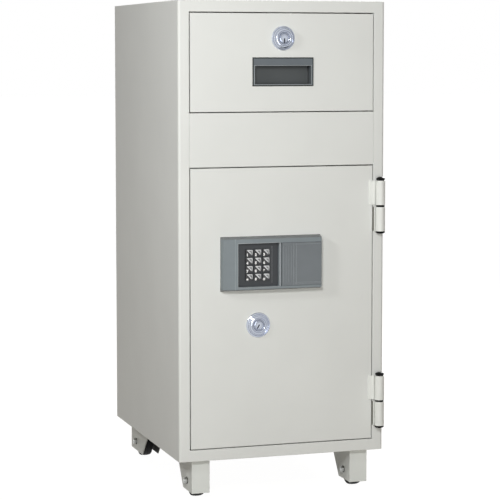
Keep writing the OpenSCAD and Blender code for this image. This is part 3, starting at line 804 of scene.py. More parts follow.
    def screw(self, centre: Sequence[float], radius: float) -> "Builder":
        """A pan head with a dimple in it that looks to the back.

        Args:
            centre: Middle of the head's seat.
            radius: Radius of the head.

        Returns:
            The builder itself.
        """
        rise = SCREW_RISE * radius
        section = [(share * radius, height * rise) for share, height in SCREW_SECTION]
        return self.turned([(0.0, 0.0)] + section, Axis.Y, centre, sides=20)

    def text(self, word: str, height: float, middle: Sequence[float], thick: float,
             weight: float) -> "Builder":
        """Plain characters that face the front.

        Args:
            word: The characters.
            height: Their height.
            middle: The middle of the word, on the surface that carries it.
            thick: Their thickness, half of it before the middle.
            weight: How much bolder than the plain face they are, as a share of their height.

        Returns:
            The builder itself.
        """
        curve = bpy.data.curves.new("word", "FONT")
        curve.body = word
        curve.align_x, curve.align_y = "CENTER", "CENTER"
        curve.size, curve.extrude, curve.resolution_u = height / DIGIT_SHARE, thick / 2, 3
        curve.offset = weight * height
        holder = bpy.data.objects.new("word", curve)
        bpy.context.scene.collection.objects.link(holder)
        made = bpy.data.meshes.new_from_object(holder.evaluated_get(bpy.context.evaluated_depsgraph_get()))
        made.transform(Matrix.Translation(Vector(middle)) @ Matrix.Rotation(math.pi / 2, 4, "X"))
        self.mesh.from_mesh(made)
        bpy.data.objects.remove(holder)
        bpy.data.curves.remove(curve)
        bpy.data.meshes.remove(made)
        return self

    def star(self, middle: Sequence[float], across: float, arm: float, thick: float) -> "Builder":
        """A star of three crossed bars that faces the front.

        Args:
            middle: Its middle, on the surface that carries it.
            across: Its size from tip to tip.
            arm: Width of a bar.
            thick: Its thickness, half of it before the middle.

        Returns:
            The builder itself.
        """
        signs = ((-1, -1), (1, -1), (1, 1), (-1, 1))
        for step, turn in enumerate((math.pi / 2, math.pi / 6, -math.pi / 6)):
            way = Vector((math.cos(turn), math.sin(turn)))
            side = Vector((-math.sin(turn), math.cos(turn)))
            corners = [across / 2 * a * way + arm / 2 * b * side for a, b in signs]
            outline = [(middle[0] + corner.x, middle[2] + corner.y) for corner in corners]
            lift = STAR_LIFT * step
            self.prism(outline, Axis.Y, middle[1] - thick / 2 - lift, middle[1] + thick / 2 + lift)
        return self

    def object(self, name: str, angle: float) -> bpy.types.Object:
        """Finish the mesh and make its object.

        Args:
            name: The object's name.
            angle: Edges that bend more than this, in degrees, stay sharp.

        Returns:
            The object.
        """
        bmesh.ops.recalc_face_normals(self.mesh, faces=self.mesh.faces)
        data = bpy.data.meshes.new(name)
        self.mesh.to_mesh(data)
        self.mesh.free()
        data.shade_smooth()
        data.set_sharp_from_angle(angle=math.radians(angle))
        made = bpy.data.objects.new(name, data)
        bpy.context.scene.collection.objects.link(made)
        flat = made.modifiers.new("flats", "WEIGHTED_NORMAL")
        flat.keep_sharp = True
        return made


def inset_box(node: str, side: float, below: float, above: float) -> tuple[Point2, Point2]:
    """The (x, z) corners of a node's box, moved in by a margin.

    Args:
        node: The node.
        side: Margin on the left and right.
        below: Margin at the bottom.
        above: Margin at the top.

    Returns:
        The lower left and the upper right corner.
    """
    low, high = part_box(node)
    return (low.x + side, low.z + below), (high.x - side, high.z - above)


@dataclass
class SubAssembly:
    """Common work of the classes that dress one part of the safe."""

    shop: Paintshop

    def add(self, builder: Builder, name: str, finish: Finish, body: str,
            replaces: Sequence[str] = (), angle: float = 38.0) -> bpy.types.Object:
        """Turn a builder's mesh into a piece that rides on a body.

        Args:
            builder: The mesh.
            name: The piece's name.
            finish: Its finish.
            body: The body that it rides on.
            replaces: The nodes that it stands for.
            angle: Edges that bend more than this, in degrees, stay sharp.

        Returns:
            The piece.
        """
        piece = builder.object(name, angle)
        self.shop.coat(piece, finish)
        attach(piece, body)
        if replaces:
            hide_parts(*replaces)
        log.info("%s rides on %s", name, body)
        return piece

    def dress(self, nodes: Iterable[str], finish: Finish, radius: float = 0.0, segments: int = 2) -> None:
        """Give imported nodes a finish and, where a radius is given, eased edges.

        Args:
            nodes: The nodes' names.
            finish: Their finish.
            radius: Radius of the eased edges.
            segments: Segments of each eased edge.
        """
        for name in nodes:
            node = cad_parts[name]
            self.shop.coat(node, finish)
            if radius > 0:
                weld = node.modifiers.new("join", "WELD")
                weld.merge_threshold = WELD_REACH
                plain = node.modifiers.new("flatten", "DECIMATE")
                plain.decimate_type, plain.angle_limit = "DISSOLVE", FLAT_ANGLE
                ease = node.modifiers.new("ease", "BEVEL")
                ease.width, ease.segments = radius, segments
                ease.limit_method, ease.angle_limit = "ANGLE", EASE_ANGLE
                ease.face_strength_mode = "FSTR_ALL"
                flat = node.modifiers.new("flats", "WEIGHTED_NORMAL")
                flat.keep_sharp, flat.use_face_influence = True, True
            log.info("%s dressed as %s", name, finish.name)


@dataclass
class Case(SubAssembly):
    """The sheet case, the front frame, the fixed panel and what lines the inside."""

    case_edge: float = 1.2 * MM
    front_edge: float = 0.8 * MM
    liner_edge: float = 0.6 * MM
    rail_edge: float = 0.4 * MM
    back_proud: float = 0.8 * MM
    back_inset: float = 9 * MM
    back_corner: float = 5 * MM
    back_edge: float = 0.3 * MM
    corner_steps: int = 4

    def build(self) -> None:
        """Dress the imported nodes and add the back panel."""
        self.dress(["outer_case"], CASE_PAINT, self.case_edge, 3)
        self.dress(["front_frame", "fixed_panel"], CASE_PAINT, self.front_edge)
        self.dress(["inner_liner", "chute_plate"], INNER_PAINT, self.liner_edge)
        boards = ("side", "back", "base", "top", "shelf")
        self.dress([f"{board}_insulation" for board in boards], CAST_BOARD)
        self.dress(["lock_keeper", "drawer_rails"], ZINC, self.rail_edge)
        self.add(self.back_panel(), "case_back_panel", CASE_PAINT, "root")

    def back_panel(self) -> Builder:
        """The back sheet, set on the case with round corners."""
        _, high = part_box("outer_case")
        corner, steps = self.back_corner, self.corner_steps
        margin = self.back_inset + corner
        (left, bottom), (right, top) = inset_box("outer_case", margin, margin, margin)
        outline = []
        for x, z, start in ((right, bottom, -90), (right, top, 0), (left, top, 90), (left, bottom, 180)):
            for step in range(steps + 1):
                turn = math.radians(start + 90 * step / steps)
                outline.append((x + corner * math.cos(turn), z + corner * math.sin(turn)))
        return Builder().prism(outline, Axis.Y, high.y - MM, high.y + self.back_proud, self.back_edge, 1)


@dataclass
class Lock(SubAssembly):
    """A cylinder lock: the collar with its turned rings, and the plug with its key slot.

    The collar's face is flat round a recess for the plug, falls away by a short step and then
    slopes to its foot. The rings are pairs of radius and thickness in millimetres.
    """

    name: str
    body: str
    proud: float
    tilt: float
    slot: Point2
    face_r: float = 18.5 * MM
    recess_r: float = 14 * MM
    recess: float = 0.9 * MM
    step: float = 2 * MM
    foot: float = 3.2 * MM
    foot_ease: float = 1.5 * MM
    plug_sunk: float = 1 * MM
    slot_half: float = 1.4 * MM
    slot_depth: Point2 = (0.9 * MM, 4 * MM)
    sides: int = 64
    bright: Sequence[Point2] = ((26.2, 0.7), (23.4, 0.6), (19.0, 0.6), (14.6, 0.5), (12.0, 0.8))
    # The dark rings are darker chrome: painted shade in the turned grooves of the collar and the plug
    dark: Sequence[Point2] = ((24.9, 0.4), (21.6, 0.4), (16.9, 0.6), (13.1, 0.3))
    plug_dark: Sequence[Point2] = ((8.9, 0.35), (6.6, 0.25))

    def build(self) -> None:
        """Dress the lock and add its turned rings."""
        collar, plug = f"{self.name}_body", f"{self.name}_plug"
        self.dress([collar], LOCK_CHROME, 0.5 * MM)
        self.dress([plug], LOCK_CHROME, 0.3 * MM)
        self.add(self.rings(self.bright), f"{collar}_rings", LOCK_CHROME, self.body)
        self.add(self.rings(self.dark), f"{collar}_grooves", LOCK_GROOVE_SHADE, self.body)
        self.add(self.rings(self.plug_dark, self.plug_sunk), f"{plug}_grooves", LOCK_GROOVE_SHADE, self.name)
        self.add(self.slot_shade_block(), f"{plug}_slot", SLOT_SHADE, self.name)

    def centre(self) -> Vector:
        """The middle of the lock's face."""
        low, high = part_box(f"{self.name}_body")
        return Vector(((low.x + high.x) / 2, low.y, (low.z + high.z) / 2))

    def behind(self, radius: float) -> float:
        """How far the collar's surface lies behind its face at a radius."""
        low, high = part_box(f"{self.name}_body")
        outer = (high.x - low.x) / 2 - self.foot_ease
        slope = self.face_r + self.step
        if radius <= self.recess_r:
            return self.recess
        if radius <= self.face_r:
            return 0.0
        if radius <= slope:
            return radius - self.face_r
        share = min((radius - slope) / (outer - slope), 1.0)
        return self.step + share * (self.proud - self.step - self.foot)

    def rings(self, sizes: Sequence[Point2], sunk: float = 0.0) -> Builder:
        """Turned rings on the lock's face.

        Args:
            sizes: Radius and thickness of each ring, in millimetres.
            sunk: How far they lie behind the collar's face, or 0 on the collar itself.

        Returns:
            The rings.
        """
        made = Builder()
        turn = [2 * math.pi * i / self.sides for i in range(self.sides)]
        for size, thick in sizes:
            radius = size * MM
            back = sunk or self.behind(radius)
            path = [self.centre() + Vector((radius * math.cos(a), back, radius * math.sin(a))) for a in turn]
            made.tube(path, thick * MM, sides=6, closed=True)
        return made

    def slot_shade_block(self) -> Builder:
        """A dark block at the key slot: painted shade in the keyway."""
        middle, half = self.centre(), self.slot_half
        low, high = self.slot
        cos, sin = math.cos(math.radians(self.tilt)), math.sin(math.radians(self.tilt))
        outline = [(middle.x + x * cos + z * sin, middle.z - x * sin + z * cos)
                   for x, z in ((-half, low), (half, low), (half, high), (-half, high))]
        near, far = self.slot_depth
        return Builder().prism(outline, Axis.Y, middle.y + near, middle.y + far)


@dataclass
class Drawer(SubAssembly):
    """The drawer front with its pull and lock, the box behind it and the drop flap."""

    bead_side: float = 4.4 * MM
    sill: float = 3.2 * MM
    band: float = 18 * MM
    bead_sunk: float = 0.2 * MM
    bead_r: float = 0.65 * MM
    edge_inset: float = 1.0 * MM
    edge_sunk: float = 0.9 * MM
    edge_r: float = 1.5 * MM
    # Dark plates at the sides of the pull's opening, painted shade
    cheek: Point2 = (4.9 * MM, 6.5 * MM)
    cheek_gap: float = 0.4 * MM
    cheek_y: Point2 = (-0.05 * MM, 0.3 * MM)
    hem_r: float = 1.5 * MM
    hem_half: float = 189.25 * MM
    hem_over_runners: float = 84 * MM
    hem_ends: Point2 = (3 * MM, 0.75 * MM)
    rib_r: float = 2.4 * MM
    rib_length: float = 150 * MM
    rib_start: float = 20 * MM
    rib_under: float = 2.9 * MM
    rib_places: Sequence[float] = (-110 * MM, 0.0, 110 * MM)
    flap_margin: float = 5 * MM
    screw_r: float = 3.6 * MM
    screw_in: float = 1.5 * MM
    screw_x: Sequence[float] = (-165 * MM, -100 * MM, 100 * MM, 165 * MM)
    screw_z: Sequence[float] = (55 * MM, 150 * MM)

    def build(self) -> None:
        """Dress the drawer and add its small parts."""
        self.dress(["drawer_front"], CASE_PAINT, 0.8 * MM, 3)
        self.dress(["drawer_box", "drop_flap"], INNER_PAINT, 0.4 * MM)
        self.dress(["drawer_runners", "flap_rod", "drawer_lock_cam"], ZINC, 0.3 * MM)
        self.dress(["drawer_pull"], PULL_GREY, 0.6 * MM)
        self.add(self.pull_rim(), "pull_rim", HIGHLIGHT_GREY, "drawer")
        self.add(self.pull_edge(), "pull_edge", SHADE_DARK, "drawer")
        self.add(self.pull_side_shades(), "pull_side_shades", PULL_SIDE_SHADE, "drawer")
        self.add(self.hems(), "drawer_hems", INNER_PAINT, "drawer")
        self.add(self.flap_ribs(), "flap_ribs", INNER_PAINT, "drop_flap")
        self.add(self.screws(), "drawer_screws", ZINC, "drawer")
        Lock(self.shop, "drawer_lock", "drawer", 12 * MM, 0.0, (-10.4 * MM, -0.4 * MM)).build()

    def pull_rim(self) -> Builder:
        """A light bead round the pull's opening, its lighter colour a painted highlight on the lip."""
        low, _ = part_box("drawer_pull")
        corners = inset_box("drawer_pull", self.bead_side, self.sill, self.band)
        return Builder().rim(corners, low.y + self.bead_sunk, self.bead_r)

    def pull_edge(self) -> Builder:
        """A dark line round the pull's flange: painted shade on its outer edge."""
        low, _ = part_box("drawer_pull")
        corners = inset_box("drawer_pull", self.edge_inset, self.edge_inset, self.edge_inset)
        return Builder().rim(corners, low.y + self.edge_sunk, self.edge_r)

    def pull_side_shades(self) -> Builder:
        """Dark plates left and right of the pull's opening, inside the light bead: painted shade on the
        opening's sides.
        """
        low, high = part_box("drawer_pull")
        near, far = self.cheek
        front, back = (low.y + depth for depth in self.cheek_y)
        bottom, top = low.z + self.sill + self.cheek_gap, high.z - self.band - self.cheek_gap
        made = Builder()
        for x in (low.x, high.x - near - far):
            made.block((x + near, front, bottom), (x + far, back, top))
        return made

    def hems(self) -> Builder:
        """Rolled hems along the top edges of the box."""
        low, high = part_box("drawer_box")
        runners_low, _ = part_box("drawer_runners")
        top, half = runners_low.z + self.hem_over_runners, self.hem_half
        front, back = low.y + self.hem_ends[0], high.y - self.hem_ends[1]
        path = [(-half, front, top), (-half, back, top), (half, back, top), (half, front, top)]
        return Builder().tube(path, self.hem_r, sides=10)

    def flap_ribs(self) -> Builder:
        """Stiffening ribs under the flap, which slope with it."""
        low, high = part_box("drop_flap")
        made = Builder()
        run = Vector((0, 1, -1)).normalized()
        under = Vector((0, 1, 1)).normalized() * self.rib_under
        for x in self.rib_places:
            root = Vector((x, low.y + self.flap_margin, high.z - self.flap_margin))
            start = root + run * self.rib_start + under
            made.tube([start, start + run * self.rib_length], self.rib_r, sides=10)
        return made

    def screws(self) -> Builder:
        """Screws that hold the box to the drawer front, seen inside the tray."""
        low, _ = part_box("drawer_box")
        made = Builder()
        for x in self.screw_x:
            for rise in self.screw_z:
                made.screw((x, low.y + self.screw_in, low.z + rise), self.screw_r)
        return made


@dataclass
class KeyUnit(SubAssembly):
    """The key unit: housing, window, sliding cover and twelve keys."""

    words: dict[str, str] = field(default_factory=lambda: {
        **{f"key_{n}": str(n) for n in range(10)}, "key_clear": "*", "key_enter": "#"})
    bead_r: float = 0.7 * MM
    bead_sunk: float = 0.2 * MM
    bead_out: Point2 = (0.9 * MM, 0.8 * MM)
    end_r: float = 0.9 * MM
    end_out: float = 1.5 * MM
    end_sunk: float = 0.3 * MM
    foot_r: float = 0.5 * MM
    foot_rise: float = 0.4 * MM
    shoulder: Point3 = (30.3 * MM, 3.1 * MM, 4 * MM)
    shoulder_r: float = 0.6 * MM
    groove_pitch: float = 6.4 * MM
    groove_count: int = 5
    groove_half: float = 1.9 * MM
    groove_end: float = 9 * MM
    groove_y: Point2 = (0.55 * MM, 1.5 * MM)
    rib_r: float = 0.2 * MM
    rib_end: float = 10 * MM
    rib_sunk: float = 0.1 * MM
    line_r: float = 0.25 * MM
    line_end: float = 3 * MM
    line_places: Sequence[float] = (28 * MM, 34 * MM)
    border: Sequence[float] = (6 * MM, 9 * MM)
    border_start: float = 30 * MM
    border_end: float = 1 * MM
    field_out: float = 6.5 * MM
    field_over: float = 6 * MM
    field_r: float = 0.45 * MM
    # Corners of a key's silver part and of the shaded part on it, from the key's middle in x and z
    corner: Sequence[Point2] = ((-6.8, 7.2), (7.9, 7.2), (7.9, -5.6), (5.4, -4.8))
    corner_y: Point2 = (-0.25 * MM, 0.2 * MM)
    corner_ease: float = 2.4 * MM
    inner: Sequence[Point2] = ((-1.4, 4.9), (5.4, 4.9), (5.4, -0.9))
    inner_y: Point2 = (-0.35 * MM, 0.0)
    inner_ease: float = 0.9 * MM
    mark_at: Point3 = (-4.7 * MM, -0.1 * MM, -4.6 * MM)
    mark_thick: float = 0.2 * MM
    digit: float = 5.7 * MM
    digit_weight: float = 0.1
    hash_weight: float = 0.05
    star: Point2 = (5.4 * MM, 1.4 * MM)

    def build(self) -> None:
        """Dress the unit and add its beads and the keys' faces."""
        self.dress(["keypad_housing"], UNIT_GREY, 0.6 * MM, 3)
        self.dress(["keypad_cover"], COVER_GREY, 0.4 * MM)
        self.dress(["keypad_plate"], KEY_PLATE, 0.3 * MM)
        self.add(self.window_bead(), "window_bead", HIGHLIGHT_GREY, "door")
        self.add(self.end_bead(), "window_end_bead", HIGHLIGHT_LIGHT, "door")
        self.add(self.edge_line(), "unit_edge_line", SHADE_DARK, "door")
        self.add(self.shoulder_line(), "unit_shoulder_line", HIGHLIGHT_GREY, "door")
        self.add(self.cover_ribs(), "cover_ribs", HIGHLIGHT_GREY, "keypad_cover")
        self.add(self.groove_floors(), "cover_groove_floors", COVER_GREY, "keypad_cover")
        self.add(self.field_bead(), "key_field_bead", KEY_SHADE, "door")
        for node, word in self.words.items():
            self.key(node, word)

    def window_bead(self) -> Builder:
        """A light bead above, below and left of the key window: painted highlight on the window's lip."""
        low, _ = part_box("keypad_housing")
        side, over = self.bead_out
        (left, bottom), (_, top) = inset_box("keypad_plate", -side, -over, -over)
        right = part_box("keypad_plate")[1].x
        y = low.y + self.bead_sunk
        path = [(right, y, bottom), (left, y, bottom), (left, y, top), (right, y, top)]
        return Builder().tube(path, self.bead_r)

    def end_bead(self) -> Builder:
        """A bright bead between the window and the cover: painted highlight on the window's lit wall."""
        low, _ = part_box("keypad_housing")
        plate_low, plate_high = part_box("keypad_plate")
        heights = (plate_low.z, plate_high.z)
        return Builder().upright(plate_high.x + self.end_out, low.y + self.end_sunk, heights, self.end_r)

    def edge_line(self) -> Builder:
        """A dark line round the foot of the housing: painted shade where it meets the door."""
        _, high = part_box("keypad_housing")
        return Builder().rim(inset_box("keypad_housing", 0, 0, 0), high.y - self.foot_rise, self.foot_r)

    def shoulder_line(self) -> Builder:
        """A light line where the shoulder meets the face: a painted highlight on that edge."""
        low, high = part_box("keypad_housing")
        side, sunk, end = self.shoulder
        return Builder().upright(low.x + side, low.y + sunk, (low.z + end, high.z - end), self.shoulder_r)

    def cover_ribs(self) -> Builder:
        """Fine light ribs between the grooves of the cover, and light lines round its flat part: painted
        highlights on their edges.
        """
        low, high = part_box("keypad_cover")
        half, heights = self.groove_pitch / 2, (low.z + self.rib_end, high.z - self.rib_end)
        made = Builder()
        for i in range(self.groove_count + 1):
            made.upright(low.x + half + i * self.groove_pitch, low.y + self.rib_sunk, heights, self.rib_r)
        for x in self.line_places:
            made.upright(low.x + x, low.y, (low.z + self.line_end, high.z - self.line_end), self.line_r)
        for z in (low.z + self.border[0], low.z + self.border[1], high.z - self.border[0]):
            start, end = (low.x + self.border_start, low.y, z), (high.x - self.border_end, low.y, z)
            made.tube([start, end], self.line_r)
        return made

    def groove_floors(self) -> Builder:
        """Shallow floors in the grooves of the cover."""
        low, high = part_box("keypad_cover")
        near, far = (low.y + depth for depth in self.groove_y)
        bottom, top = low.z + self.groove_end, high.z - self.groove_end
        made = Builder()
        for i in range(self.groove_count):
            x = low.x + (i + 1) * self.groove_pitch
            made.block((x - self.groove_half, near, bottom), (x + self.groove_half, far, top))
        return made

    def field_bead(self) -> Builder:
        """A fine line at the right of the keys on the black plate."""
        _, first_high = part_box("key_1")
        last_low, last_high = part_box("key_enter")
        plate_low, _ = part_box("keypad_plate")
        heights = (last_low.z - self.field_over, first_high.z + self.field_over)
        return Builder().upright(last_high.x + self.field_out, plate_low.y, heights, self.field_r)

    def key(self, node: str, word: str) -> None:
        """Dress one key: a black cap with a silver corner and a white character.

        Args:
            node: The key's node and body.
            word: Its character.
        """
        self.dress([node], KEY_BLACK, 0.4 * MM)
        low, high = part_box(node)
        x, y, z = (low.x + high.x) / 2, low.y, (low.z + high.z) / 2
        layers = (("corner", KEY_SILVER, self.corner, self.corner_y, self.corner_ease),
                  ("inner", KEY_SHADE, self.inner, self.inner_y, self.inner_ease))
        for name, finish, corners, depth, ease in layers:
            outline = [(x + right * MM, z + up * MM) for right, up in corners]
            plate = Builder().plate(outline, (y + depth[0], y + depth[1]), ease)
            self.add(plate, f"{node}_{name}", finish, node)
        place = (x + self.mark_at[0], y + self.mark_at[1], z + self.mark_at[2])
        if word == "*":
            mark = Builder().star(place, *self.star, self.mark_thick)
        else:
            weight = self.hash_weight if word == "#" else self.digit_weight
            mark = Builder().text(word, self.digit, place, self.mark_thick, weight)
        self.add(mark, f"{node}_digit", DIGIT_INK, node)


@dataclass
class Door(SubAssembly):
    """The hinged door: skin, insulation, inner cover, bolt work, hinges, key unit and lock."""

    screw_r: float = 3.4 * MM
    screw_inset: float = 18 * MM
    screw_shares: Sequence[float] = (0.0, 0.25, 0.5, 0.75, 1.0)
    pressing_inset: float = 42 * MM
    pressing_rise: float = 1.4 * MM
    pressing_edge: float = 0.9 * MM
    barrel: float = 57 * MM
    weld_r: float = 0.9 * MM
    weld_end: float = 1 * MM
    root_r: float = 1.5 * MM
    root_end: float = 0.5 * MM
    root_at: Point2 = (-0.3 * MM, 7.0 * MM)
    packing_x: Point2 = (0.7 * MM, 5.0 * MM)
    packing_y: Point2 = (-0.3 * MM, 0.5 * MM)
    spigot: Point2 = (5.9 * MM, 4 * MM)
    # Section of a hinge cap from its seat up: how far inside its widest radius, and its height
    lens: Sequence[Point2] = ((3.4, 0.0), (0.9, 2.3), (0.0, 3.9), (0.3, 4.9), (2.6, 6.6),
                              (5.4, 8.0), (7.0, 8.7))

    def build(self) -> None:
        """Dress the door and add its small parts."""
        self.dress(["door_skin"], CASE_PAINT, 0.8 * MM, 3)
        self.dress(["door_inner_cover"], INNER_PAINT, 1.2 * MM, 3)
        self.dress(["door_insulation"], CAST_BOARD)
        self.dress(["door_back_plate", "bolt_guides", "lock_pinion"], ZINC, 0.2 * MM)
        self.dress(["bolt_work", "dead_bolts"], BRIGHT_STEEL, 0.3 * MM)
        self.dress(["control_box"], KEY_PLATE, 1 * MM)
        self.dress(["hinge_frame_barrels", "hinge_door_leaves"], LIT_HINGE_PAINT, 0.5 * MM)
        self.add(self.cap_lenses(), "hinge_cap_lenses", BLACK_CAP, "door", ["hinge_caps"])
        self.add(self.barrel_roots("hinge_door_leaves"), "leaf_roots", SHADED_HINGE_ROOT, "door")
        self.add(self.barrel_roots("hinge_frame_barrels"), "frame_barrel_roots", SHADED_HINGE_ROOT, "root")
        self.dress(["hinge_pins"], BLACK_PIN, 0.3 * MM)
        self.add(self.cover_panel(), "cover_pressing", INNER_PAINT, "door")
        self.add(self.cover_screws(), "cover_screws", ZINC, "door")
        self.add(self.leaf_welds(), "leaf_welds", CASE_PAINT, "door")
        self.add(self.packing(), "hinge_packing", BARREL_SHADE_GREY, "root")
        Lock(self.shop, "door_lock", "door", 8 * MM, 30.0, (-7.0 * MM, 2.0 * MM)).build()
        KeyUnit(self.shop).build()

    def barrel_spans(self, node: str, end: float = 0.0) -> list[Point2]:
        """The heights that a node's two barrels span.

        Args:
            node: The node with two barrels, one above the other.
            end: How much is left off at either end of each.

        Returns:
            The lowest and the highest z of each barrel.
        """
        low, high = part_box(node)
        return [(z + end, z + self.barrel - end) for z in (low.z, high.z - self.barrel)]

    def cover_panel(self) -> Builder:
        """The pressed panel on the inner cover."""
        _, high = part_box("door_inner_cover")
        inset = self.pressing_inset
        (left, bottom), (right, top) = inset_box("door_inner_cover", inset, inset, inset)
        near, far = (left, high.y - MM, bottom), (right, high.y + self.pressing_rise, top)
        return Builder().block(near, far, self.pressing_edge, 3)

    def cover_screws(self) -> Builder:
        """Screws round the edge of the inner cover."""
        _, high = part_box("door_inner_cover")
        inset = self.screw_inset
        (left, bottom), (right, top) = inset_box("door_inner_cover", inset, inset, inset)
        places = [(x, bottom + share * (top - bottom)) for x in (left, right) for share in self.screw_shares]
        places += [((left + right) / 2, z) for z in (bottom, top)]
        made = Builder()
        for x, z in places:
            made.screw((x, high.y, z), self.screw_r)
        return made

    def leaf_welds(self) -> Builder:
        """Weld beads along the edges of the hinge leaves on the door."""
        skin_low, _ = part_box("door_skin")
        leaves_low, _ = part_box("hinge_door_leaves")
        made = Builder()
        for heights in self.barrel_spans("hinge_door_leaves", self.weld_end):
            made.upright(leaves_low.x, skin_low.y, heights, self.weld_r)
        return made

    def cap_lenses(self) -> Builder:
        """The black caps on the upper barrels, widest at half their height."""
        low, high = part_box("hinge_caps")
        radius, cap = (high.x - low.x) / 2, self.lens[-1][1] * MM
        pin, spigot = self.spigot
        section = [(0.0, -spigot), (pin, -spigot), (pin, 0.0)]
        section += [(radius - inset * MM, rise * MM) for inset, rise in self.lens]
        section += [(0.0, cap)]
        made = Builder()
        for seat in (low.z + spigot, high.z - cap):
            made.turned(section, Axis.Z, ((low.x + high.x) / 2, (low.y + high.y) / 2, seat))
        return made

    def barrel_roots(self, node: str) -> Builder:
        """The weld between each barrel of a node and what carries it, in an enamel a shade darker than the
        hinge's: painted shade in the crease.

        Args:
            node: The node with two barrels, one above the other.

        Returns:
            The welds.
        """
        low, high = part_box("hinge_caps")
        x, y = low.x + self.root_at[0], (low.y + high.y) / 2 + self.root_at[1]
        made = Builder()
        for heights in self.barrel_spans(node, self.root_end):
            made.upright(x, y, heights, self.root_r, sides=12)
        return made

    def packing(self) -> Builder:
        """A dark strip beside each frame barrel, in the frame's opening: painted shade between the barrel
        and the door.
        """
        _, skin_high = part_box("door_skin")
        case_low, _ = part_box("outer_case")
        left, right = (skin_high.x + side for side in self.packing_x)
        near, far = (case_low.y + depth for depth in self.packing_y)
        made = Builder()
        for bottom, top in self.barrel_spans("hinge_frame_barrels"):
            made.block((left, near, bottom), (right, far, top))
        return made


def caster_place(side: Side, end: End) -> str:
    """Where a caster stands, as the names of its nodes say it."""
    return f"{end.name.lower()}_{side.name.lower()}"


@dataclass
class Caster(SubAssembly):
    """One fixed caster: bracket, tyre and hub.

    The hub's section is given in millimetres: the boss as radii and depths from its face, the web
    as a radius and half a thickness, and the rim as depths from the tread and half widths.
    """

    side: Side
    end: End
    half: float = 13.0 * MM
    bead: Point2 = (11 * MM, 1.2 * MM)
    wall: float = 4.5 * MM
    tread_share: float = 0.96
    crown: float = 2.4 * MM
    steps: int = 24
    grooves: Sequence[float] = (-6.1 * MM, 0.0, 6.1 * MM)
    groove_half: float = 0.9 * MM
    groove_depth: float = 1.1 * MM
    boss: Sequence[Point2] = ((5.1, 0.0), (10.5, 0.0), (12.0, 1.5))
    web: Sequence[Point2] = ((13.0, 6.0),)
    rim: Sequence[Point2] = ((14.0, 5.0), (12.5, 7.8), (11.2, 8.5))

    def build(self) -> None:
        """Dress the bracket and build the wheel."""
        place = caster_place(self.side, self.end)
        self.dress([f"bracket_{place}"], BRACKET_PAINT, 0.7 * MM, 3)
        wheel = f"wheel_{place}"
        self.add(self.tyre(wheel), f"tyre_{place}", TYRE, wheel, [wheel], angle=50)
        self.add(self.hub(wheel), f"hub_{place}", HUB_GREY, wheel)

    def tyre(self, node: str) -> Builder:
        """The tyre with three grooves round its crown."""
        low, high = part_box(node)
        middle, radius = (low + high) / 2, (high.z - low.z) / 2
        half, tread = self.half, self.tread_share * self.half
        depth, inset = self.bead
        points = [(radius - depth, inset - half), (radius - self.wall, -half)]
        for i in range(self.steps + 1):
            along = -tread + 2 * tread * i / self.steps
            drop = self.crown * abs(along / half) ** 3
            near = min(abs(along - place) for place in self.grooves)
            dip = self.groove_depth if near < self.groove_half else 0.0
            points.append((radius - drop - dip, along))
        points += [(radius - self.wall, half), (radius - depth, half - inset)]
        return Builder().turned(points, Axis.X, middle, sides=64)

    def hub(self, node: str) -> Builder:
        """The wheel's rim, web and hub."""
        low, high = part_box(node)
        middle, radius = (low + high) / 2, (high.z - low.z) / 2
        half = (high.x - low.x) / 2
        side = [(r * MM, half - depth * MM) for r, depth in self.boss]
        side += [(r * MM, thick * MM) for r, thick in self.web]
        side += [(radius - depth * MM, width * MM) for depth, width in self.rim]
        points = [(r, -h) for r, h in side] + [(r, h) for r, h in reversed(side)]
        return Builder().turned(points, Axis.X, middle, sides=48)


@dataclass
class AxleBolts(SubAssembly):
    """The bolts that carry the wheels, with a washer on each side of the brackets."""

    hole_r: float = 5.05 * MM
    washer_r: float = 8.2 * MM
    washer: float = 0.9 * MM

    def build(self) -> None:
        """Dress the bolts and add their washers."""
        self.dress(["axle_bolts"], ZINC, 0.4 * MM)
        hole, rim = self.hole_r, self.washer_r
        made = Builder()
        for end in End:
            for side in Side:
                place = caster_place(side, end)
                low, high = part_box(f"bracket_{place}")
                wheel_low, wheel_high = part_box(f"wheel_{place}")
                middle = (wheel_low + wheel_high) / 2
                for x, out in ((low.x, -self.washer), (high.x, self.washer)):
                    section = [(hole, 0.0), (rim, 0.0), (rim, out), (hole, out)]
                    made.turned(section, Axis.X, (x, middle.y, middle.z), sides=32)
        # The washers take a dark copy of the zinc plate: painted shade round the axle bolts
        self.add(made, "axle_washers", SHADED_ZINC, "root")


@dataclass(frozen=True)
class Lamp:
    """A soft square lamp: where it stands, what it looks at, the length of its side and its power."""

    name: str
    at: Point3
    aim: Point3
    size: float
    watts: float

    def build(self) -> None:
        """Put the lamp in the scene."""
        data = bpy.data.lights.new(self.name, "AREA")
        data.shape, data.size, data.energy = "SQUARE", self.size, self.watts
        made = bpy.data.objects.new(self.name, data)
        made.location = self.at
        made.rotation_euler = (Vector(self.aim) - Vector(self.at)).to_track_quat("-Z", "Y").to_euler()
        bpy.context.scene.collection.objects.link(made)


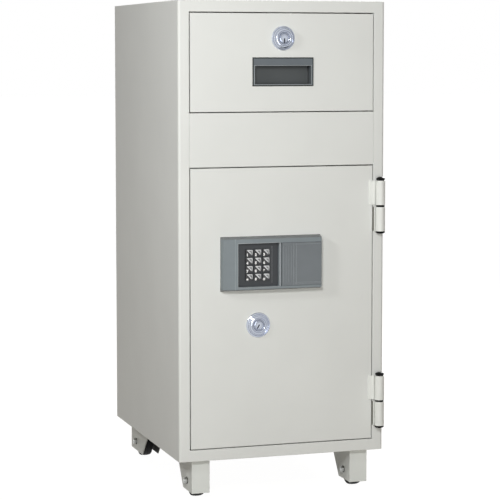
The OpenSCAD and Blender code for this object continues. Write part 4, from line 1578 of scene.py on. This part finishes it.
@dataclass
class Studio:
    """The floor, the lamps, the world and the camera."""

    lamps: Sequence[Lamp] = (
        Lamp("key_lamp", (-0.95, -2.31, 1.6), (0.0, -0.28, 0.6), 0.42, 26.5),
        Lamp("fill_lamp", (-0.35, -3.2, 0.55), (0.0, -0.28, 0.6), 1.1, 23.5),
        Lamp("edge_lamp", (-1.5, -0.93, 1.36), (-0.2, -0.3, 0.7), 0.3, 8.0),
        Lamp("back_lamp", (1.8, 2.6, 2.3), (0.0, 0.2, 0.6), 1.6, 95),
    )
    camera_at: Point3 = (-1.4041, -4.3764, 1.0245)
    turn: float = -0.31318
    tilt: float = -0.082467
    lens: float = 135.40
    sensor: float = 36
    shift: float = -0.08
    clip: Point2 = (0.1, 200)
    ambient: tuple[float, float, float, float] = (1.0, 0.92, 0.79, 1)
    ambient_level: float = 0.088
    floor_half: float = 40
    floor_thick: float = 0.02
    floor_colour: tuple[float, float, float, float] = (0.25, 0.22, 0.17, 1)
    floor_roughness: float = 0.65
    floor_change: float = 0.1
    floor_scale: float = 40
    floor_sheen: float = 0.2
    # Share of the floor that is plain white to the camera, and how white that makes it
    white_share: float = 0.7
    white_level: float = 0.98

    def build(self) -> None:
        """Set the stage."""
        self.floor()
        self.world()
        for lamp in self.lamps:
            lamp.build()
        self.camera()
        bpy.context.scene.view_settings.view_transform = "Standard"

    def floor(self) -> None:
        """A wide pale floor that shows white to the camera but keeps a soft shadow."""
        half = self.floor_half
        floor = Builder().block((-half, -half, -self.floor_thick), (half, half, 0)).object("floor", 38.0)
        surface = Surface("pale_floor", Specular_IOR_Level=self.floor_sheen, Base_Color=self.floor_colour)
        grain = surface.noise(self.floor_scale, detail=3.0)
        surface.feed("Roughness", self.floor_roughness + self.floor_change * grain)
        seen = surface.sight() * self.white_share
        glow = {"Color": WHITE, "Strength": self.white_level / self.white_share}
        white = surface.node("ShaderNodeEmission", {}, glow)
        shown = surface.node("ShaderNodeMixShader", {}, {0: seen, 1: surface.shader, 2: white})
        floor.data.materials.append(surface.material(shown))

    def world(self) -> None:
        """A white surround, dimmer as light than it looks."""
        world = bpy.data.worlds.new("surround")
        bpy.context.scene.world = world
        graph = Graph(world)
        values = {"Color": self.ambient, "Strength": self.ambient_level}
        light = graph.node("ShaderNodeBackground", {}, values)
        white = graph.node("ShaderNodeBackground", {}, {"Color": WHITE, "Strength": 1.0})
        shown = graph.node("ShaderNodeMixShader", {}, {0: graph.sight(), 1: light, 2: white})
        graph.node("ShaderNodeOutputWorld", {}, {"Surface": shown})

    def camera(self) -> None:
        """The camera at the photograph's viewing angle."""
        data = bpy.data.cameras.new("camera")
        data.lens, data.shift_y, data.sensor_width = self.lens, self.shift, self.sensor
        data.clip_start, data.clip_end = self.clip
        made = bpy.data.objects.new("camera", data)
        made.location = self.camera_at
        made.rotation_euler = (math.pi / 2 + self.tilt, 0, self.turn)
        bpy.context.scene.collection.objects.link(made)
        bpy.context.scene.camera = made


def main() -> None:
    """Build the safe and its surroundings in order."""
    logging.basicConfig(level=logging.INFO, format="%(name)s: %(message)s")
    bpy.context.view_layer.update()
    shop = Paintshop()
    Studio().build()
    Case(shop).build()
    Drawer(shop).build()
    Door(shop).build()
    for end in End:
        for side in Side:
            Caster(shop, side, end).build()
    AxleBolts(shop).build()
    bpy.context.view_layer.update()


if __name__ == "__main__":
    main()
